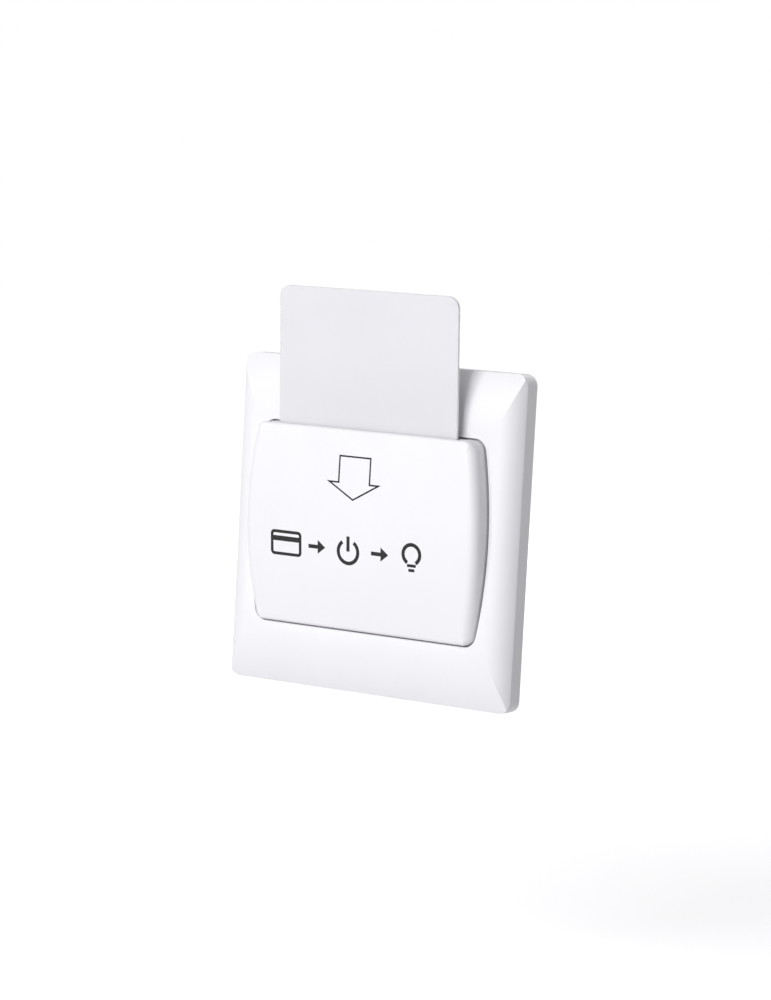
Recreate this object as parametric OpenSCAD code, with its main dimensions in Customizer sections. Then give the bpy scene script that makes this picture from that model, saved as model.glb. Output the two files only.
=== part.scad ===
// Hotel key card switch: a wall plate with a card pocket. A card in the pocket pushes a lever back,
// the lever presses a microswitch, and a relay behind the plate switches the room's power.
// Millimetres. The origin is the middle of the plate on the wall plane: +X right, +Y into the wall, +Z up.
// The front panel is the frame, the cover and the guide. The base is the mounting plate, the housing
// and the circuit board. The front panel clips on the base.

/* [Card] */
// Width of the card
card_w = 54; // [50:0.5:58]
// Height of the card
card_h = 85.6; // [76:0.2:95]
// Thickness of the card
card_t = 0.8; // [0.5:0.05:1]
// Corner radius of the card
card_corner_r = 3.18; // [1:0.1:6]
// Angle by which the card leans out from the wall
card_lean = 4.4; // [3:0.1:5.5]

/* [Pocket] */
// Gap between each edge of the card and its rail
card_side_gap = 0.5; // [0.3:0.1:1]
// Gap between the card and the back wall of the pocket
card_rear_gap = 0.4; // [0.3:0.1:0.8]
// Gap between the card and the ribs in front of it
card_front_gap = 0.5; // [0.3:0.1:0.8]
// Gap between the card and the floor of the pocket
card_floor_gap = 0.1; // [0.05:0.05:0.5]
// Thickness of each side rail
rail_t = 1.4; // [1:0.1:2]
// Thickness of the pocket's back wall
guide_wall = 1.6; // [1.2:0.1:2]
// Room between the back wall's lowest end and the mounting plate
guide_base_gap = 1.65; // [1:0.05:2.5]
// Gap between the guide and the top and bottom of the cover
guide_end_gap = 0.2; // [0.1:0.1:0.6]
// Gap between each edge of the card and the end of the slot
slot_side_gap = 3.2; // [0.8:0.1:3.5]
// Gap in the slot in front of the card
slot_front_gap = 0.8; // [0.5:0.1:1]
// Gap in the slot behind the card
slot_rear_gap = 0.4; // [0.3:0.1:0.8]
// Width of each card rib inside the cover
card_rib_w = 1.2; // [0.8:0.1:2]
// Distance of the card ribs from the middle
card_rib_x = 19; // [12:0.5:22]
// Distances of the stiffening ribs behind the guide from the middle
guide_rib_x = [10, 21]; // [6:0.5:26]

/* [Cover] */
// Height of the cover
cover_h = 52; // [48:0.5:58]
// Distance of the cover's middle below the plate's middle
cover_drop = 0.3; // [0:0.1:2]
// Amount by which each side bows out at its middle
cover_bow = 2.6; // [1:0.1:4]
// Corner radius of the outline
cover_corner_r = 3; // [2.9:0.1:4]
// Rounding of the front along the two bowed sides
cover_side_round = 2.8; // [1.2:0.1:2.9]
// Rounding of the front along the top and the bottom
cover_end_round = 0.8; // [0.4:0.1:1.2]
// Rise of the front's crown above a flat front
cover_crown = 1.65; // [0.8:0.05:2.5]
// Distance of the front from the card's middle, at the top
cover_front_top = 2.55; // [2.3:0.05:4]
// Distance of the front from the card's middle, at the bottom
cover_front_bottom = 2.9; // [2.8:0.05:4]
// Thickness of the front wall
cover_front_wall = 1.7; // [1.2:0.1:1.9]
// Thickness of the side and top walls
cover_wall = 1.8; // [1.2:0.1:2.4]
// Thickness of the wall under the card
cover_floor_wall = 2.3; // [1.5:0.1:3]
// Room between the screw bosses and the side walls
cover_side_room = 1.1; // [0.8:0.1:2]
// Width of the flange behind the frame
flange_w = 2.2; // [1.5:0.1:3]
// Thickness of that flange
flange_t = 1.2; // [0.8:0.1:2]
// Step by which the flange's edge lies lower than the part that touches the frame
flange_step = 0.3; // [0.3:0.05:0.5]

/* [Frame] */
// Width of the frame beside the cover
border_w = 7.4; // [6.5:0.1:12]
// Width of the frame above and below the cover
border_h = 17; // [14:0.5:24]
// Corner radius of the frame
frame_corner_r = 3; // [2.5:0.1:6]
// Width of the rolled edge at the sides
side_roll_w = 6.2; // [3.5:0.1:7]
// Width of the rolled edge at the top and bottom
end_roll_w = 14; // [5:0.1:14.5]
// Depth by which the rolled edges fall away
roll_drop = 3.6; // [1.5:0.1:4]
// Wall of the frame
frame_wall = 2; // [1.5:0.1:2.4]
// Shadow gap between the cover and the frame
aperture_gap = 0.5; // [0.2:0.05:0.8]
// Width of the pry slot in the lower edge
pry_slot_w = 10; // [6:1:20]
// Depth of that slot
pry_slot_d = 1.4; // [0.8:0.1:2]
// Thickness of the ribs inside the rim
rim_rib_t = 1.2; // [0.8:0.1:1.6]
// Reach of those ribs from the rim
rim_rib_reach = 2.4; // [1.5:0.1:2.8]
// Distance of those ribs from the middle of each side
rim_rib_at = 9; // [8:0.5:12]

/* [Snap hooks] */
// Width of each hook
hook_w = 8; // [4:0.5:12]
// Thickness of each hook's arm
hook_t = 1.4; // [1:0.1:2]
// Reach of each hook's barb
hook_barb = 0.7; // [0.4:0.1:1]
// Play of each hook on what it holds
hook_play = 0.1; // [0.05:0.05:0.3]
// Distance of the cover's hooks from the middle
cover_hook_x = 15; // [10:1:24]
// Distance of the plate's hooks from the middle
plate_hook_x = 21; // [12:1:26]
// Gap between a hook's tip and what lies behind it
hook_tip_gap = 0.4; // [0.2:0.1:0.8]

/* [Mounting plate] */
// Thickness of the plate
mount_t = 3; // [2.4:0.1:4]
// Gap between the plate's edge and the frame's wall
mount_edge_gap = 4; // [3:0.1:5]
// Corner radius of the plate
mount_corner_r = 3; // [1:0.5:6]
// Room between the plate and the cover's flange
flange_room = 2; // [1.2:0.1:2.5]
// Ledge left in front of the plate's hooks
hook_ledge = 1.4; // [0.8:0.1:1.6]
// Depth of the pockets that lighten the plate's rear
pocket_d = 1.2; // [0.6:0.1:1.6]
// Width of each of those pockets
pocket_w = 11; // [8:0.5:12]
// Height of each of those pockets
pocket_h = 4.6; // [3:0.1:5]
// Distance of the inner pockets from the middle
pocket_x = 7.5; // [6.5:0.1:9]

/* [Wall screws] */
// Distance between the two wall screws
wall_screw_spacing = 60.3; // [58:0.1:62]
// Thread radius
wall_screw_r = 2; // [1.75:0.05:2.25]
// Radius of the plain neck under the head
wall_screw_neck_r = 1.75; // [1.4:0.05:1.8]
// Reach of the thread into the wall box
wall_screw_reach = 18; // [12:1:30]
// Radius of the head
wall_screw_head_r = 3.9; // [3.2:0.1:4.2]
// Height of the head
wall_screw_head_h = 2.2; // [1.6:0.1:2.4]
// Length of each slot in the plate
wall_slot_l = 6.6; // [5:0.1:8]
// Gap between the neck and each side of its slot
wall_slot_gap = 0.5; // [0.3:0.05:0.8]
// Depth of the recess round each slot
wall_recess = 1.2; // [0.8:0.1:1.6]
// Gap round the head in its recess
wall_recess_gap = 0.5; // [0.3:0.1:1]

/* [Small screws] */
// Shank radius of the small screws
screw_r = 0.9; // [0.7:0.05:1.2]
// Head radius of the small screws
screw_head_r = 1.8; // [1.5:0.05:2]
// Head height of the small screws
screw_head_h = 1.3; // [1:0.05:1.4]
// Gap between a shank and its pilot hole
pilot_gap = 0.06; // [0.03:0.01:0.1]
// Gap between a shank and its through hole
through_gap = 0.3; // [0.15:0.05:0.5]
// Radius of a screw boss
boss_r = 1.8; // [1.6:0.1:2.4]
// Depth of each shank in its boss
thread_depth = 3.4; // [2.5:0.1:3.6]
// Spare depth of a pilot hole
pilot_spare = 0.5; // [0.3:0.1:0.6]
// Gap between a screw boss and its neighbour
boss_gap = 0.2; // [0.1:0.05:0.6]
// Distance of the guide's screws above and below the cover's middle
guide_screw_z = 12; // [9:0.5:16]
// Thickness of the guide's screw tabs
guide_tab_t = 1.4; // [1:0.1:2]
// Gap between the guide's screw heads and the mounting plate
guide_head_gap = 0.7; // [0.3:0.1:1]

/* [Lever] */
// Height of the nose above the lower edge of the card
nose_rise = 3.2; // [2.5:0.1:5]
// Gap between the nose and the card
nose_gap = 0.2; // [0.15:0.05:0.4]
// Radius of the nose's tip
nose_r = 0.7; // [0.5:0.1:0.9]
// Height of the finger that carries the nose
finger_h = 2.8; // [2:0.1:3.4]
// Width of that finger
finger_w = 4.8; // [3:0.1:6]
// Distance of the pivot above the nose
pivot_rise = 13.2; // [12.5:0.1:16]
// Distance of the pivot behind the mounting plate
pivot_depth = 3; // [2.8:0.1:5]
// Thickness of the lever's arm
arm_t = 2; // [1.4:0.1:2.4]
// Distance of the arm's middle in front of the pivot
arm_lead = 0.2; // [0:0.1:0.6]
// Width of the arm
arm_w = 7; // [5.2:0.1:8]
// Length of the hub on its pin
hub_l = 6.2; // [4:0.1:7]
// Radius of the hub
hub_r = 2.4; // [2:0.1:2.6]
// Radius of the pin
pin_r = 1; // [0.8:0.05:1.2]
// Running gap between the pin and the hub
pin_gap = 0.06; // [0.03:0.01:0.1]
// Length of the pin beyond each ear
pin_proud = 0.2; // [0.1:0.1:1]
// Gap between the hub and the ear beside it
hub_side_gap = 0.3; // [0.2:0.1:0.5]
// Clear width between the two ears
ear_span = 11.4; // [11.2:0.1:14]
// Thickness of each ear
ear_t = 1.6; // [1.2:0.1:2.4]
// Gap round the finger in the plate and in the guide
finger_gap = 0.8; // [0.6:0.1:1.4]
// Room above the finger for its swing
finger_swing = 1.6; // [1.4:0.1:3]

/* [Lever spring] */
// Radius of the wire
wire_r = 0.25; // [0.15:0.01:0.3]
// Mean radius of the coil
coil_r = 1.9; // [1.6:0.05:2.2]
// Distance between two turns
coil_pitch = 1.15; // [1:0.05:1.2]
// Number of whole turns
coil_turns = 3; // [2:1:3]
// Length of the leg behind the arm
lever_leg_l = 4; // [3:0.1:4.4]
// Gap between the coil and the hub
coil_gap = 0.35; // [0.2:0.05:0.8]
// Gap between a leg and what it presses on
leg_gap = 0.1; // [0.05:0.05:0.2]

/* [Microswitch] */
// Length of the case
micro_l = 12.8; // [10:0.1:14]
// Width of the case
micro_w = 5.8; // [5:0.1:7]
// Depth of the case
micro_d = 5.8; // [5:0.1:7]
// Distance of the plunger below the pivot
plunger_drop = 7.5; // [7:0.1:8.5]
// Distance of the plunger from the case's middle
plunger_offset = 1.8; // [0:0.1:4]
// Radius of the plunger
plunger_r = 1.1; // [0.8:0.05:1.4]
// Length of the plunger
plunger_l = 3.2; // [2.4:0.1:4]
// Length of the plunger outside the case while the card is in
plunger_proud = 0.7; // [0.5:0.1:1.5]
// Gap between the plunger and its hole
plunger_gap = 0.1; // [0.05:0.01:0.15]
// Gap between the plunger and the lever
plunger_rest_gap = 0.08; // [0.05:0.01:0.15]
// Distance between two of its pins
micro_pitch = 5.08; // [3.8:0.02:5.4]

/* [Circuit board] */
// Width of the board
board_w = 44; // [42:0.5:46]
// Height of the board
board_h = 47; // [46.5:0.5:49]
// Thickness of the board
board_t = 1.6; // [1:0.1:2]
// Corner radius of the board
board_corner_r = 1.5; // [0.5:0.5:3]
// Distance of the posts from the side edges of the board
post_inset_x = 3; // [2.5:0.1:3.4]
// Distance of the posts from the top and bottom edges of the board
post_inset_z = 3.5; // [2.5:0.1:4.5]
// Radius of each post
post_r = 2.3; // [2:0.1:2.6]
// Radius of a component's lead
lead_r = 0.35; // [0.25:0.05:0.45]
// Gap round a lead in the board
lead_gap = 0.15; // [0.1:0.05:0.25]
// Length of a lead beyond the board
lead_proud = 1; // [0.5:0.1:1.5]
// Distance of the outermost parts from the edges of the board
part_edge = 1.65; // [1:0.05:2]
// Gap between two rows of parts
row_gap = 1.75; // [1:0.05:2]
// Gap between a part and the head of a screw beside it
part_gap = 0.7; // [0.4:0.1:1]
// Distance of the film capacitor's leads from its ends
lead_inset = 1.5; // [1:0.1:2]

/* [Board parts] */
// Width, height and depth of the relay
relay_size = [28.5, 10.1, 12.5]; // [8:0.1:30]
// Width, height and depth of the film capacitor
film_size = [13, 6, 11]; // [4:0.1:14]
// Radius of the electrolytic capacitor
can_r = 4; // [3:0.1:5]
// Length of the electrolytic capacitor
can_l = 11.5; // [8:0.1:12.5]
// Radius of the bridge rectifier
bridge_r = 4.4; // [3.5:0.1:5]
// Depth of the bridge rectifier
bridge_d = 5.2; // [4:0.1:7]
// Radius of the varistor's disc
varistor_r = 5; // [3.5:0.1:5.4]
// Thickness of the varistor's disc
varistor_t = 3.8; // [3:0.1:4.4]
// Radius of the fuse resistor
fuse_r = 1.6; // [1.2:0.1:2]
// Length of the fuse resistor
fuse_l = 8; // [6:0.1:10]
// Width, height and depth of the controller chip
chip_size = [4.9, 3.9, 1.5]; // [1:0.1:6]
// Distance between the chip's legs
chip_pitch = 1.27; // [1:0.01:1.3]

/* [Terminals] */
// Number of terminals
terminal_count = 4; // [2:1:4]
// Distance between two terminals
terminal_pitch = 7.62; // [7.5:0.01:7.7]
// Depth of the block
terminal_d = 13; // [12.6:0.1:15]
// Wall between the block's mouth and its clamps
terminal_mouth = 3.2; // [2:0.1:4]
// Wall behind the clamps
terminal_back = 1.4; // [1:0.1:2]
// Width of a clamp
clamp_w = 5.4; // [4.6:0.1:5.8]
// Height of a clamp
clamp_h = 5.2; // [4.4:0.1:5.6]
// Depth of a clamp
clamp_d = 8.8; // [8:0.1:9.2]
// Wall of a clamp
clamp_wall = 0.6; // [0.4:0.05:0.65]
// Thickness of the threaded top of a clamp
clamp_roof = 2.2; // [1.6:0.1:2.4]
// Length of a terminal screw that stands into its clamp
clamp_bite = 0.5; // [0.2:0.1:0.8]
// Gap round a clamp
clamp_gap = 0.15; // [0.1:0.05:0.3]
// Radius of the wire entries
wire_entry_r = 2; // [1.6:0.05:2.2]
// Radius of the terminal screws' shanks
terminal_screw_r = 1.4; // [1.1:0.05:1.6]
// Radius of the terminal screws' heads
terminal_head_r = 2; // [1.7:0.05:2.2]
// Height of the terminal screws' heads
terminal_head_h = 1.5; // [1:0.1:1.8]
// Gap round a terminal screw's head
terminal_head_gap = 0.35; // [0.2:0.05:0.5]

/* [Rear housing] */
// Gap between the board and the side walls
board_gap = 1.2; // [0.8:0.1:2]
// Gap above the board
board_top_gap = 1.7; // [1:0.1:3]
// Room behind the deepest board part
rear_room = 0.3; // [0.2:0.1:2]
// Wall of the housing
housing_wall = 1.8; // [1.2:0.1:2.4]
// Corner radius of the housing
housing_corner_r = 3; // [2:0.1:5]
// Rounding of the rear edges
housing_edge_r = 2; // [1:0.1:2.4]
// Distance by which the block's mouth stands back from the lower wall
mouth_recess = 0.4; // [0.2:0.1:1]
// Gap round the terminal block in the lower wall
window_gap = 0.3; // [0.2:0.1:0.6]
// Number of vent slots in each side wall
side_vents = 5; // [3:1:5]
// Number of vent slots in the top wall
top_vents = 9; // [5:2:9]
// Length of a vent slot in a side wall
side_vent_l = 10; // [6:0.5:11]
// Length of a vent slot in the top wall, behind the wires
top_vent_l = 5; // [3:0.5:5]
// Width of a vent slot
vent_w = 1.4; // [1:0.1:1.8]
// Distance between two vent slots
vent_pitch = 3.4; // [2.8:0.1:3.6]
// Width and height of the bare label field in the rear wall
label_size = [36, 22]; // [16:1:38]
// Depth of the label field
label_depth = 0.4; // [0.2:0.1:0.6]
// Gap between a screwdriver hole and the block's screw hole
driver_gap = 0.4; // [0.2:0.1:0.8]
// Thickness of the four ears
ear_plate_t = 2.5; // [2:0.1:3]
// Radius of the ears
ear_plate_r = 3.2; // [2.8:0.1:3.6]
// Distance of the ears' screws above and below the middle
ear_plate_z = 19; // [16:0.5:22]
// Shank radius of the housing's screws
housing_screw_r = 1.2; // [1:0.05:1.4]
// Head radius of the housing's screws
housing_head_r = 2.3; // [2:0.1:2.5]
// Gap between the housing's screw heads and its wall
housing_head_gap = 0.7; // [0.4:0.1:1.2]
// Distance of the housing's screw tips behind the front of the mounting plate
housing_tip_gap = 0.5; // [0.2:0.1:1]

/* [Hidden] */

$fn = 72;
wide_fn = 220;
cut = 1;
ends = [-1, 1];

// Depths from the wall plane outwards
plate_front_y = -mount_t;
flange_rear_y = plate_front_y - flange_room;
flange_front_y = flange_rear_y - flange_t;
face_inner_y = flange_front_y;
face_y = face_inner_y - frame_wall;
tab_rear_y = plate_front_y - screw_head_h - guide_head_gap;
tab_front_y = tab_rear_y - guide_tab_t;
card_bottom_y = plate_front_y - guide_base_gap - guide_wall - card_rear_gap - card_t / 2;

// Widths from the card outwards
rail_in = card_w / 2 + card_side_gap;
rail_out = rail_in + rail_t;
boss_x = rail_out + boss_gap + boss_r;
cover_half_w = boss_x + boss_r + cover_side_room + cover_wall;
plate_w = 2 * (cover_half_w + border_w);
plate_h = cover_h + 2 * border_h;
mount_w = plate_w - 2 * (frame_wall + mount_edge_gap);
mount_h = plate_h - 2 * (frame_wall + mount_edge_gap);

// The cover's outline
cover_half_h = cover_h / 2;
cover_z = -cover_drop;
cover_top_z = cover_z + cover_half_h;
cover_bottom_z = cover_z - cover_half_h;
cover_side_r = (pow(cover_half_h, 2) + pow(cover_bow, 2)) / (2 * cover_bow);
cavity_half_h = cover_half_h - (cover_wall + cover_floor_wall) / 2;
cavity_z = cover_z + (cover_floor_wall - cover_wall) / 2;
cavity_corner_r = 1.2;
cavity_round = 0.4;

// The card's plane
card_bottom_z = cover_bottom_z + cover_floor_wall + card_floor_gap;
function card_y(z) = card_bottom_y - (z - card_bottom_z) * tan(card_lean);
guide_bottom_z = cover_bottom_z + cover_floor_wall + guide_end_gap;
guide_top_z = cover_top_z - cover_wall - guide_end_gap;
guide_rear = card_t / 2 + card_rear_gap + guide_wall;

// The crown of the cover's front: a circle through its top and bottom edges
front_top = [card_y(cover_top_z) - cover_front_top, cover_top_z];
front_bottom = [card_y(cover_bottom_z) - cover_front_bottom, cover_bottom_z];
front_chord = front_top - front_bottom;
front_r = (pow(norm(front_chord) / 2, 2) + pow(cover_crown, 2)) / (2 * cover_crown);
front_inward = [front_chord[1], -front_chord[0]] / norm(front_chord);
front_centre = (front_top + front_bottom) / 2 + (front_r - cover_crown) * front_inward;
function front_y(z) = front_centre[0] - sqrt(pow(front_r, 2) - pow(z - front_centre[1], 2));

// The rolled edges of the frame and the roots of its hooks
hook_root = frame_wall / 4;
side_roll_r = (pow(side_roll_w, 2) + pow(roll_drop, 2)) / (2 * roll_drop);
end_roll_r = (pow(end_roll_w, 2) + pow(roll_drop, 2)) / (2 * roll_drop);

// The part of the cover's flange that touches the frame ends before the frame's wall starts to roll
flange_land = min(flange_w, border_w - side_roll_w - hook_play);

// Wall screws
wall_screw_x = wall_screw_spacing / 2;
recess_y = plate_front_y + wall_recess;
wall_slot_r = wall_screw_neck_r + wall_slot_gap;

// The lever and its pivot
nose_z = card_bottom_z + nose_rise;
nose_y = card_y(nose_z) + card_t / 2 / cos(card_lean) + nose_gap;
pivot_y = pivot_depth;
pivot_z = nose_z + pivot_rise;
arm_front_y = pivot_y - arm_lead - arm_t / 2;
arm_rear_y = arm_front_y + arm_t;
finger_low_z = nose_z - finger_h / 2;
finger_high_z = nose_z + finger_h / 2;
hub_x0 = -ear_span / 2 + hub_side_gap;
hub_x1 = hub_x0 + hub_l;
ear_r = hub_r;
pin_l = ear_span + 2 * (ear_t + pin_proud);

// The microswitch and the board, stacked behind the lever's arm
plunger_z = pivot_z - plunger_drop;
plunger_tip_y = arm_rear_y + plunger_rest_gap;
micro_front_y = plunger_tip_y + plunger_proud;
board_front_y = micro_front_y + micro_d;
board_rear_y = board_front_y + board_t;
micro_x = -plunger_offset;
hole_r = lead_r + lead_gap;
part_corner_r = 0.6;

// The housing round the board
housing_half_w = board_w / 2 + board_gap + housing_wall;
housing_half_h = board_h / 2 + board_top_gap + housing_wall;
deepest_part = max(terminal_d, relay_size[2], film_size[2], can_l);
housing_inner_y = board_rear_y + deepest_part + rear_room;
housing_d = housing_inner_y + housing_wall;
ear_plate_x = housing_half_w + housing_head_r + housing_head_gap;
field_corner_r = 1;
housing_screw_l = ear_plate_t + mount_t - housing_tip_gap;

// The terminal block
mouth_z = -housing_half_h + mouth_recess;
clamp_z = mouth_z + terminal_mouth + clamp_gap + clamp_h / 2;
terminal_back_z = clamp_z + clamp_h / 2 + clamp_gap + terminal_back;
terminal_block_w = terminal_count * terminal_pitch;
clamp_top_y = board_rear_y + clamp_gap + clamp_d;
wire_y = board_rear_y + clamp_gap + clamp_wall + (clamp_d - clamp_wall - clamp_roof) / 2;
screw_hole_r = terminal_head_r + terminal_head_gap;
driver_hole_r = screw_hole_r + driver_gap;
terminal_rear_y = board_rear_y + terminal_d;
function terminal_x(i) = (i - (terminal_count - 1) / 2) * terminal_pitch;

// Where the parts sit on the board, as [x, z], set out from its edges row by row from the top
post_x = board_w / 2 - post_inset_x;
post_z = board_h / 2 - post_inset_z;
relay_x = -post_x + screw_head_r + part_gap + relay_size[0] / 2;
relay_at = [relay_x, board_h / 2 - part_edge - relay_size[1] / 2];
row_z = relay_at[1] - relay_size[1] / 2 - row_gap;
film_at = [board_w / 2 - part_edge - film_size[0] / 2, row_z - film_size[1] / 2];
low_row_z = row_z - film_size[1] - row_gap;
can_at = [board_w / 2 - part_edge - can_r, low_row_z - can_r];
bridge_at = [can_at[0] - can_r - row_gap - bridge_r, low_row_z - bridge_r];
varistor_at = [-board_w / 2 + part_edge + varistor_t / 2, row_z - varistor_r];
fuse_reach = fuse_l / 2 + fuse_r;
fuse_x = bridge_at[0] - bridge_r - row_gap - fuse_reach - lead_r;
fuse_at = [fuse_x, row_z - 2 * varistor_r - row_gap - fuse_r];
chip_leg = 1;
chip_at = [fuse_x, row_z - chip_leg - chip_size[1] / 2];

// The leads of each part
relay_pins = [[-0.42, 0], [-0.25, -0.37], [-0.25, 0.37], [0.3, -0.37], [0.3, 0.37]];
relay_leads = [for (p = relay_pins) relay_at + [p[0] * relay_size[0], p[1] * relay_size[1]]];
film_leads = [for (s = ends) film_at + [s * (film_size[0] / 2 - lead_inset), 0]];
can_leads = [for (s = ends) can_at + [s * can_r * 0.44, 0]];
bridge_leads = [for (sx = ends, sz = ends) bridge_at + [sx, sz] * bridge_r * 0.45];
varistor_leads = [for (s = ends) varistor_at + [0, s * varistor_r * 0.75]];
fuse_leads = [for (s = ends) fuse_at + [s * fuse_reach, 0]];
micro_leads = [for (k = [-1, 0, 1]) [micro_x + k * micro_pitch, plunger_z]];
terminal_leads = [for (i = [0 : terminal_count - 1]) [terminal_x(i), clamp_z]];
post_places = [for (sx = ends, sz = ends) [sx * post_x, sz * post_z]];
ear_places = [for (sx = ends, sz = ends) [sx * ear_plate_x, sz * ear_plate_z]];
guide_screw_places = [for (sx = ends, sz = ends) [sx * boss_x, cover_z + sz * guide_screw_z]];

// Extrudes a shape drawn in X and Z from depth y0 to depth y1
module along_y(y0, y1) {
    translate([0, y1, 0]) rotate([90, 0, 0]) linear_extrude(height = y1 - y0) children();
}

// Extrudes a shape drawn in Y and Z from x0 to x1
module along_x(x0, x1) {
    translate([x0, 0, 0]) rotate([90, 0, 90]) linear_extrude(height = x1 - x0) children();
}

// Extrudes a shape drawn in X and Y from z0 to z1
module along_z(z0, z1) {
    translate([0, 0, z0]) linear_extrude(height = z1 - z0) children();
}

// A round rod along Y at [x, z]
module rod_y(at, y0, y1, r) {
    translate([at[0], y1, at[1]]) rotate([90, 0, 0]) cylinder(r = r, h = y1 - y0);
}

// A round rod along X at depth y and height z
module rod_x(x0, x1, y, z, r) {
    translate([x0, y, z]) rotate([0, 90, 0]) cylinder(r = r, h = x1 - x0);
}

// A box between two corners
module box(low, high) {
    translate(low) cube(high - low);
}

// Copies to the left and the right
module left_and_right() {
    children();
    mirror([1, 0, 0]) children();
}

// Copies above and below a height
module above_and_below(z) {
    translate([0, 0, z]) {
        children();
        mirror([0, 0, 1]) children();
    }
}

module in_card_frame() {
    translate([0, card_bottom_y, card_bottom_z]) rotate([card_lean, 0, 0]) children();
}

module rounded_rect(w, h, r) {
    square([w - 2 * r, h], center = true);
    square([w, h - 2 * r], center = true);
    for (sx = ends, sy = ends) translate([sx * (w / 2 - r), sy * (h / 2 - r)]) circle(r = r);
}

// A straight slot with round ends, drawn along the first axis
module slot_shape(l, r) {
    square([l - 2 * r, 2 * r], center = true);
    for (s = ends) translate([s * (l / 2 - r), 0]) circle(r = r);
}

// The barrel outline, grown by an amount all round: bowed sides, straight ends, round corners
module barrel(grow) {
    side_r = cover_side_r + grow;
    half_w = cover_half_w + grow;
    half_h = cover_half_h + grow;
    r = cover_corner_r + grow;
    shift = side_r - half_w;
    corner_z = half_h - r;
    corner_x = sqrt(pow(side_r - r, 2) - pow(corner_z, 2)) - shift;
    meet_z = corner_z * side_r / (side_r - r);
    intersection() {
        translate([-shift, 0]) circle(r = side_r, $fn = wide_fn);
        translate([shift, 0]) circle(r = side_r, $fn = wide_fn);
        square([2 * half_w + cut, 2 * meet_z], center = true);
    }
    square([2 * corner_x, 2 * half_h], center = true);
    for (sx = ends, sz = ends) translate([sx * corner_x, sz * corner_z]) circle(r = r);
}

// A section whose front edges roll away along arcs that start flush with the face
module rolled_section(half, roll_w, roll_r, face, back) {
    flat = half - roll_w;
    edge = face + roll_r - sqrt(pow(roll_r, 2) - pow(roll_w, 2));
    translate([-half, edge]) square([2 * half, back - edge]);
    translate([-flat, face]) square([2 * flat, back - face]);
    for (side = ends) {
        intersection() {
            translate([side * flat, face + roll_r]) circle(r = roll_r);
            translate([side > 0 ? flat : -half, face]) square([roll_w, edge - face]);
        }
    }
}

// A cushion-shaped block: a rounded square outline cut by two rolled sections
module rolled_block(half_w, half_h, corner_r, side_w, side_r, end_w, end_r, face, back) {
    intersection() {
        along_y(face, back) rounded_rect(2 * half_w, 2 * half_h, corner_r);
        along_z(-half_h, half_h) rolled_section(half_w, side_w, side_r, face, back);
        rotate([0, 90, 0]) along_z(-half_w, half_w) rolled_section(half_h, end_w, end_r, face, back);
    }
}

// The same frame form, shrunk by an amount behind every face
module frame_form(shrink, back) {
    rolled_block(
        plate_w / 2 - shrink, plate_h / 2 - shrink, frame_corner_r - shrink,
        side_roll_w - shrink, side_roll_r - shrink, end_roll_w - shrink, end_roll_r - shrink,
        face_y + shrink, back
    );
}

// A hook arm drawn in Y and Z: it stands from y0 on the line z = 0 and its barb grips at grip_y
module hook_section(y0, grip_y, y1) {
    polygon([
        [y0, hook_play + hook_t], [y0, hook_play], [grip_y, hook_play], [grip_y, -hook_barb],
        [y1, hook_play], [y1, hook_play + hook_t]
    ]);
}

module cover_hooks() {
    above_and_below(cover_z) left_and_right() translate([0, 0, cover_half_h + flange_w])
        along_x(cover_hook_x - hook_w / 2, cover_hook_x + hook_w / 2)
            hook_section(face_inner_y - hook_root, flange_rear_y + hook_play, plate_front_y - hook_tip_gap);
}

module plate_hooks() {
    above_and_below(0) left_and_right() translate([0, 0, mount_h / 2])
        along_x(plate_hook_x - hook_w / 2, plate_hook_x + hook_w / 2)
            hook_section(face_inner_y - hook_root, plate_front_y + hook_ledge + hook_play, -hook_tip_gap);
}

// Ribs inside the rim, two on each side
module rim_ribs() {
    for (turn = [0, 90]) {
        rim_in = (turn == 0 ? plate_h : plate_w) / 2 - frame_wall;
        rotate([0, turn, 0]) above_and_below(0) left_and_right() box(
            [rim_rib_at - rim_rib_t / 2, face_inner_y, rim_in - rim_rib_reach],
            [rim_rib_at + rim_rib_t / 2, -pry_slot_d, rim_in + frame_wall / 4]
        );
    }
}

module outer_frame() {
    color("white") difference() {
        union() {
            // Ribs and hooks root inside the wall, so none of them comes through the rolled edges
            intersection() {
                union() {
                    rim_ribs();
                    cover_hooks();
                    plate_hooks();
                }
                frame_form(frame_wall / 2, 0);
            }
            difference() {
                frame_form(0, 0);
                frame_form(frame_wall, cut);
                translate([0, 0, cover_z]) along_y(face_y - cut, face_inner_y + cut) barrel(aperture_gap);
            }
        }
        box(
            [-pry_slot_w / 2, -pry_slot_d, -plate_h / 2 - cut],
            [pry_slot_w / 2, cut, -plate_h / 2 + frame_wall + cut]
        );
    }
}

// Half of a barrel outline from bottom to top, each point as [x, z, nx, nz] with its outward normal
function half_outline(half_w, half_h, side_r, r, side_steps, corner_steps) =
    let (shift = side_r - half_w)
    let (corner_z = half_h - r)
    let (corner_x = sqrt(pow(side_r - r, 2) - pow(corner_z, 2)) - shift)
    let (tilt = asin(corner_z / (side_r - r)))
    let (turn = (90 - tilt) / corner_steps)
    concat(
        [for (i = [0 : corner_steps]) let (a = -90 + i * turn)
            [corner_x + r * cos(a), -corner_z + r * sin(a), cos(a), sin(a)]],
        [for (i = [1 : side_steps - 1]) let (a = tilt * (2 * i / side_steps - 1))
            [side_r * cos(a) - shift, side_r * sin(a), cos(a), sin(a)]],
        [for (i = [0 : corner_steps]) let (a = tilt + i * turn)
            [corner_x + r * cos(a), corner_z + r * sin(a), cos(a), sin(a)]]
    );

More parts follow.
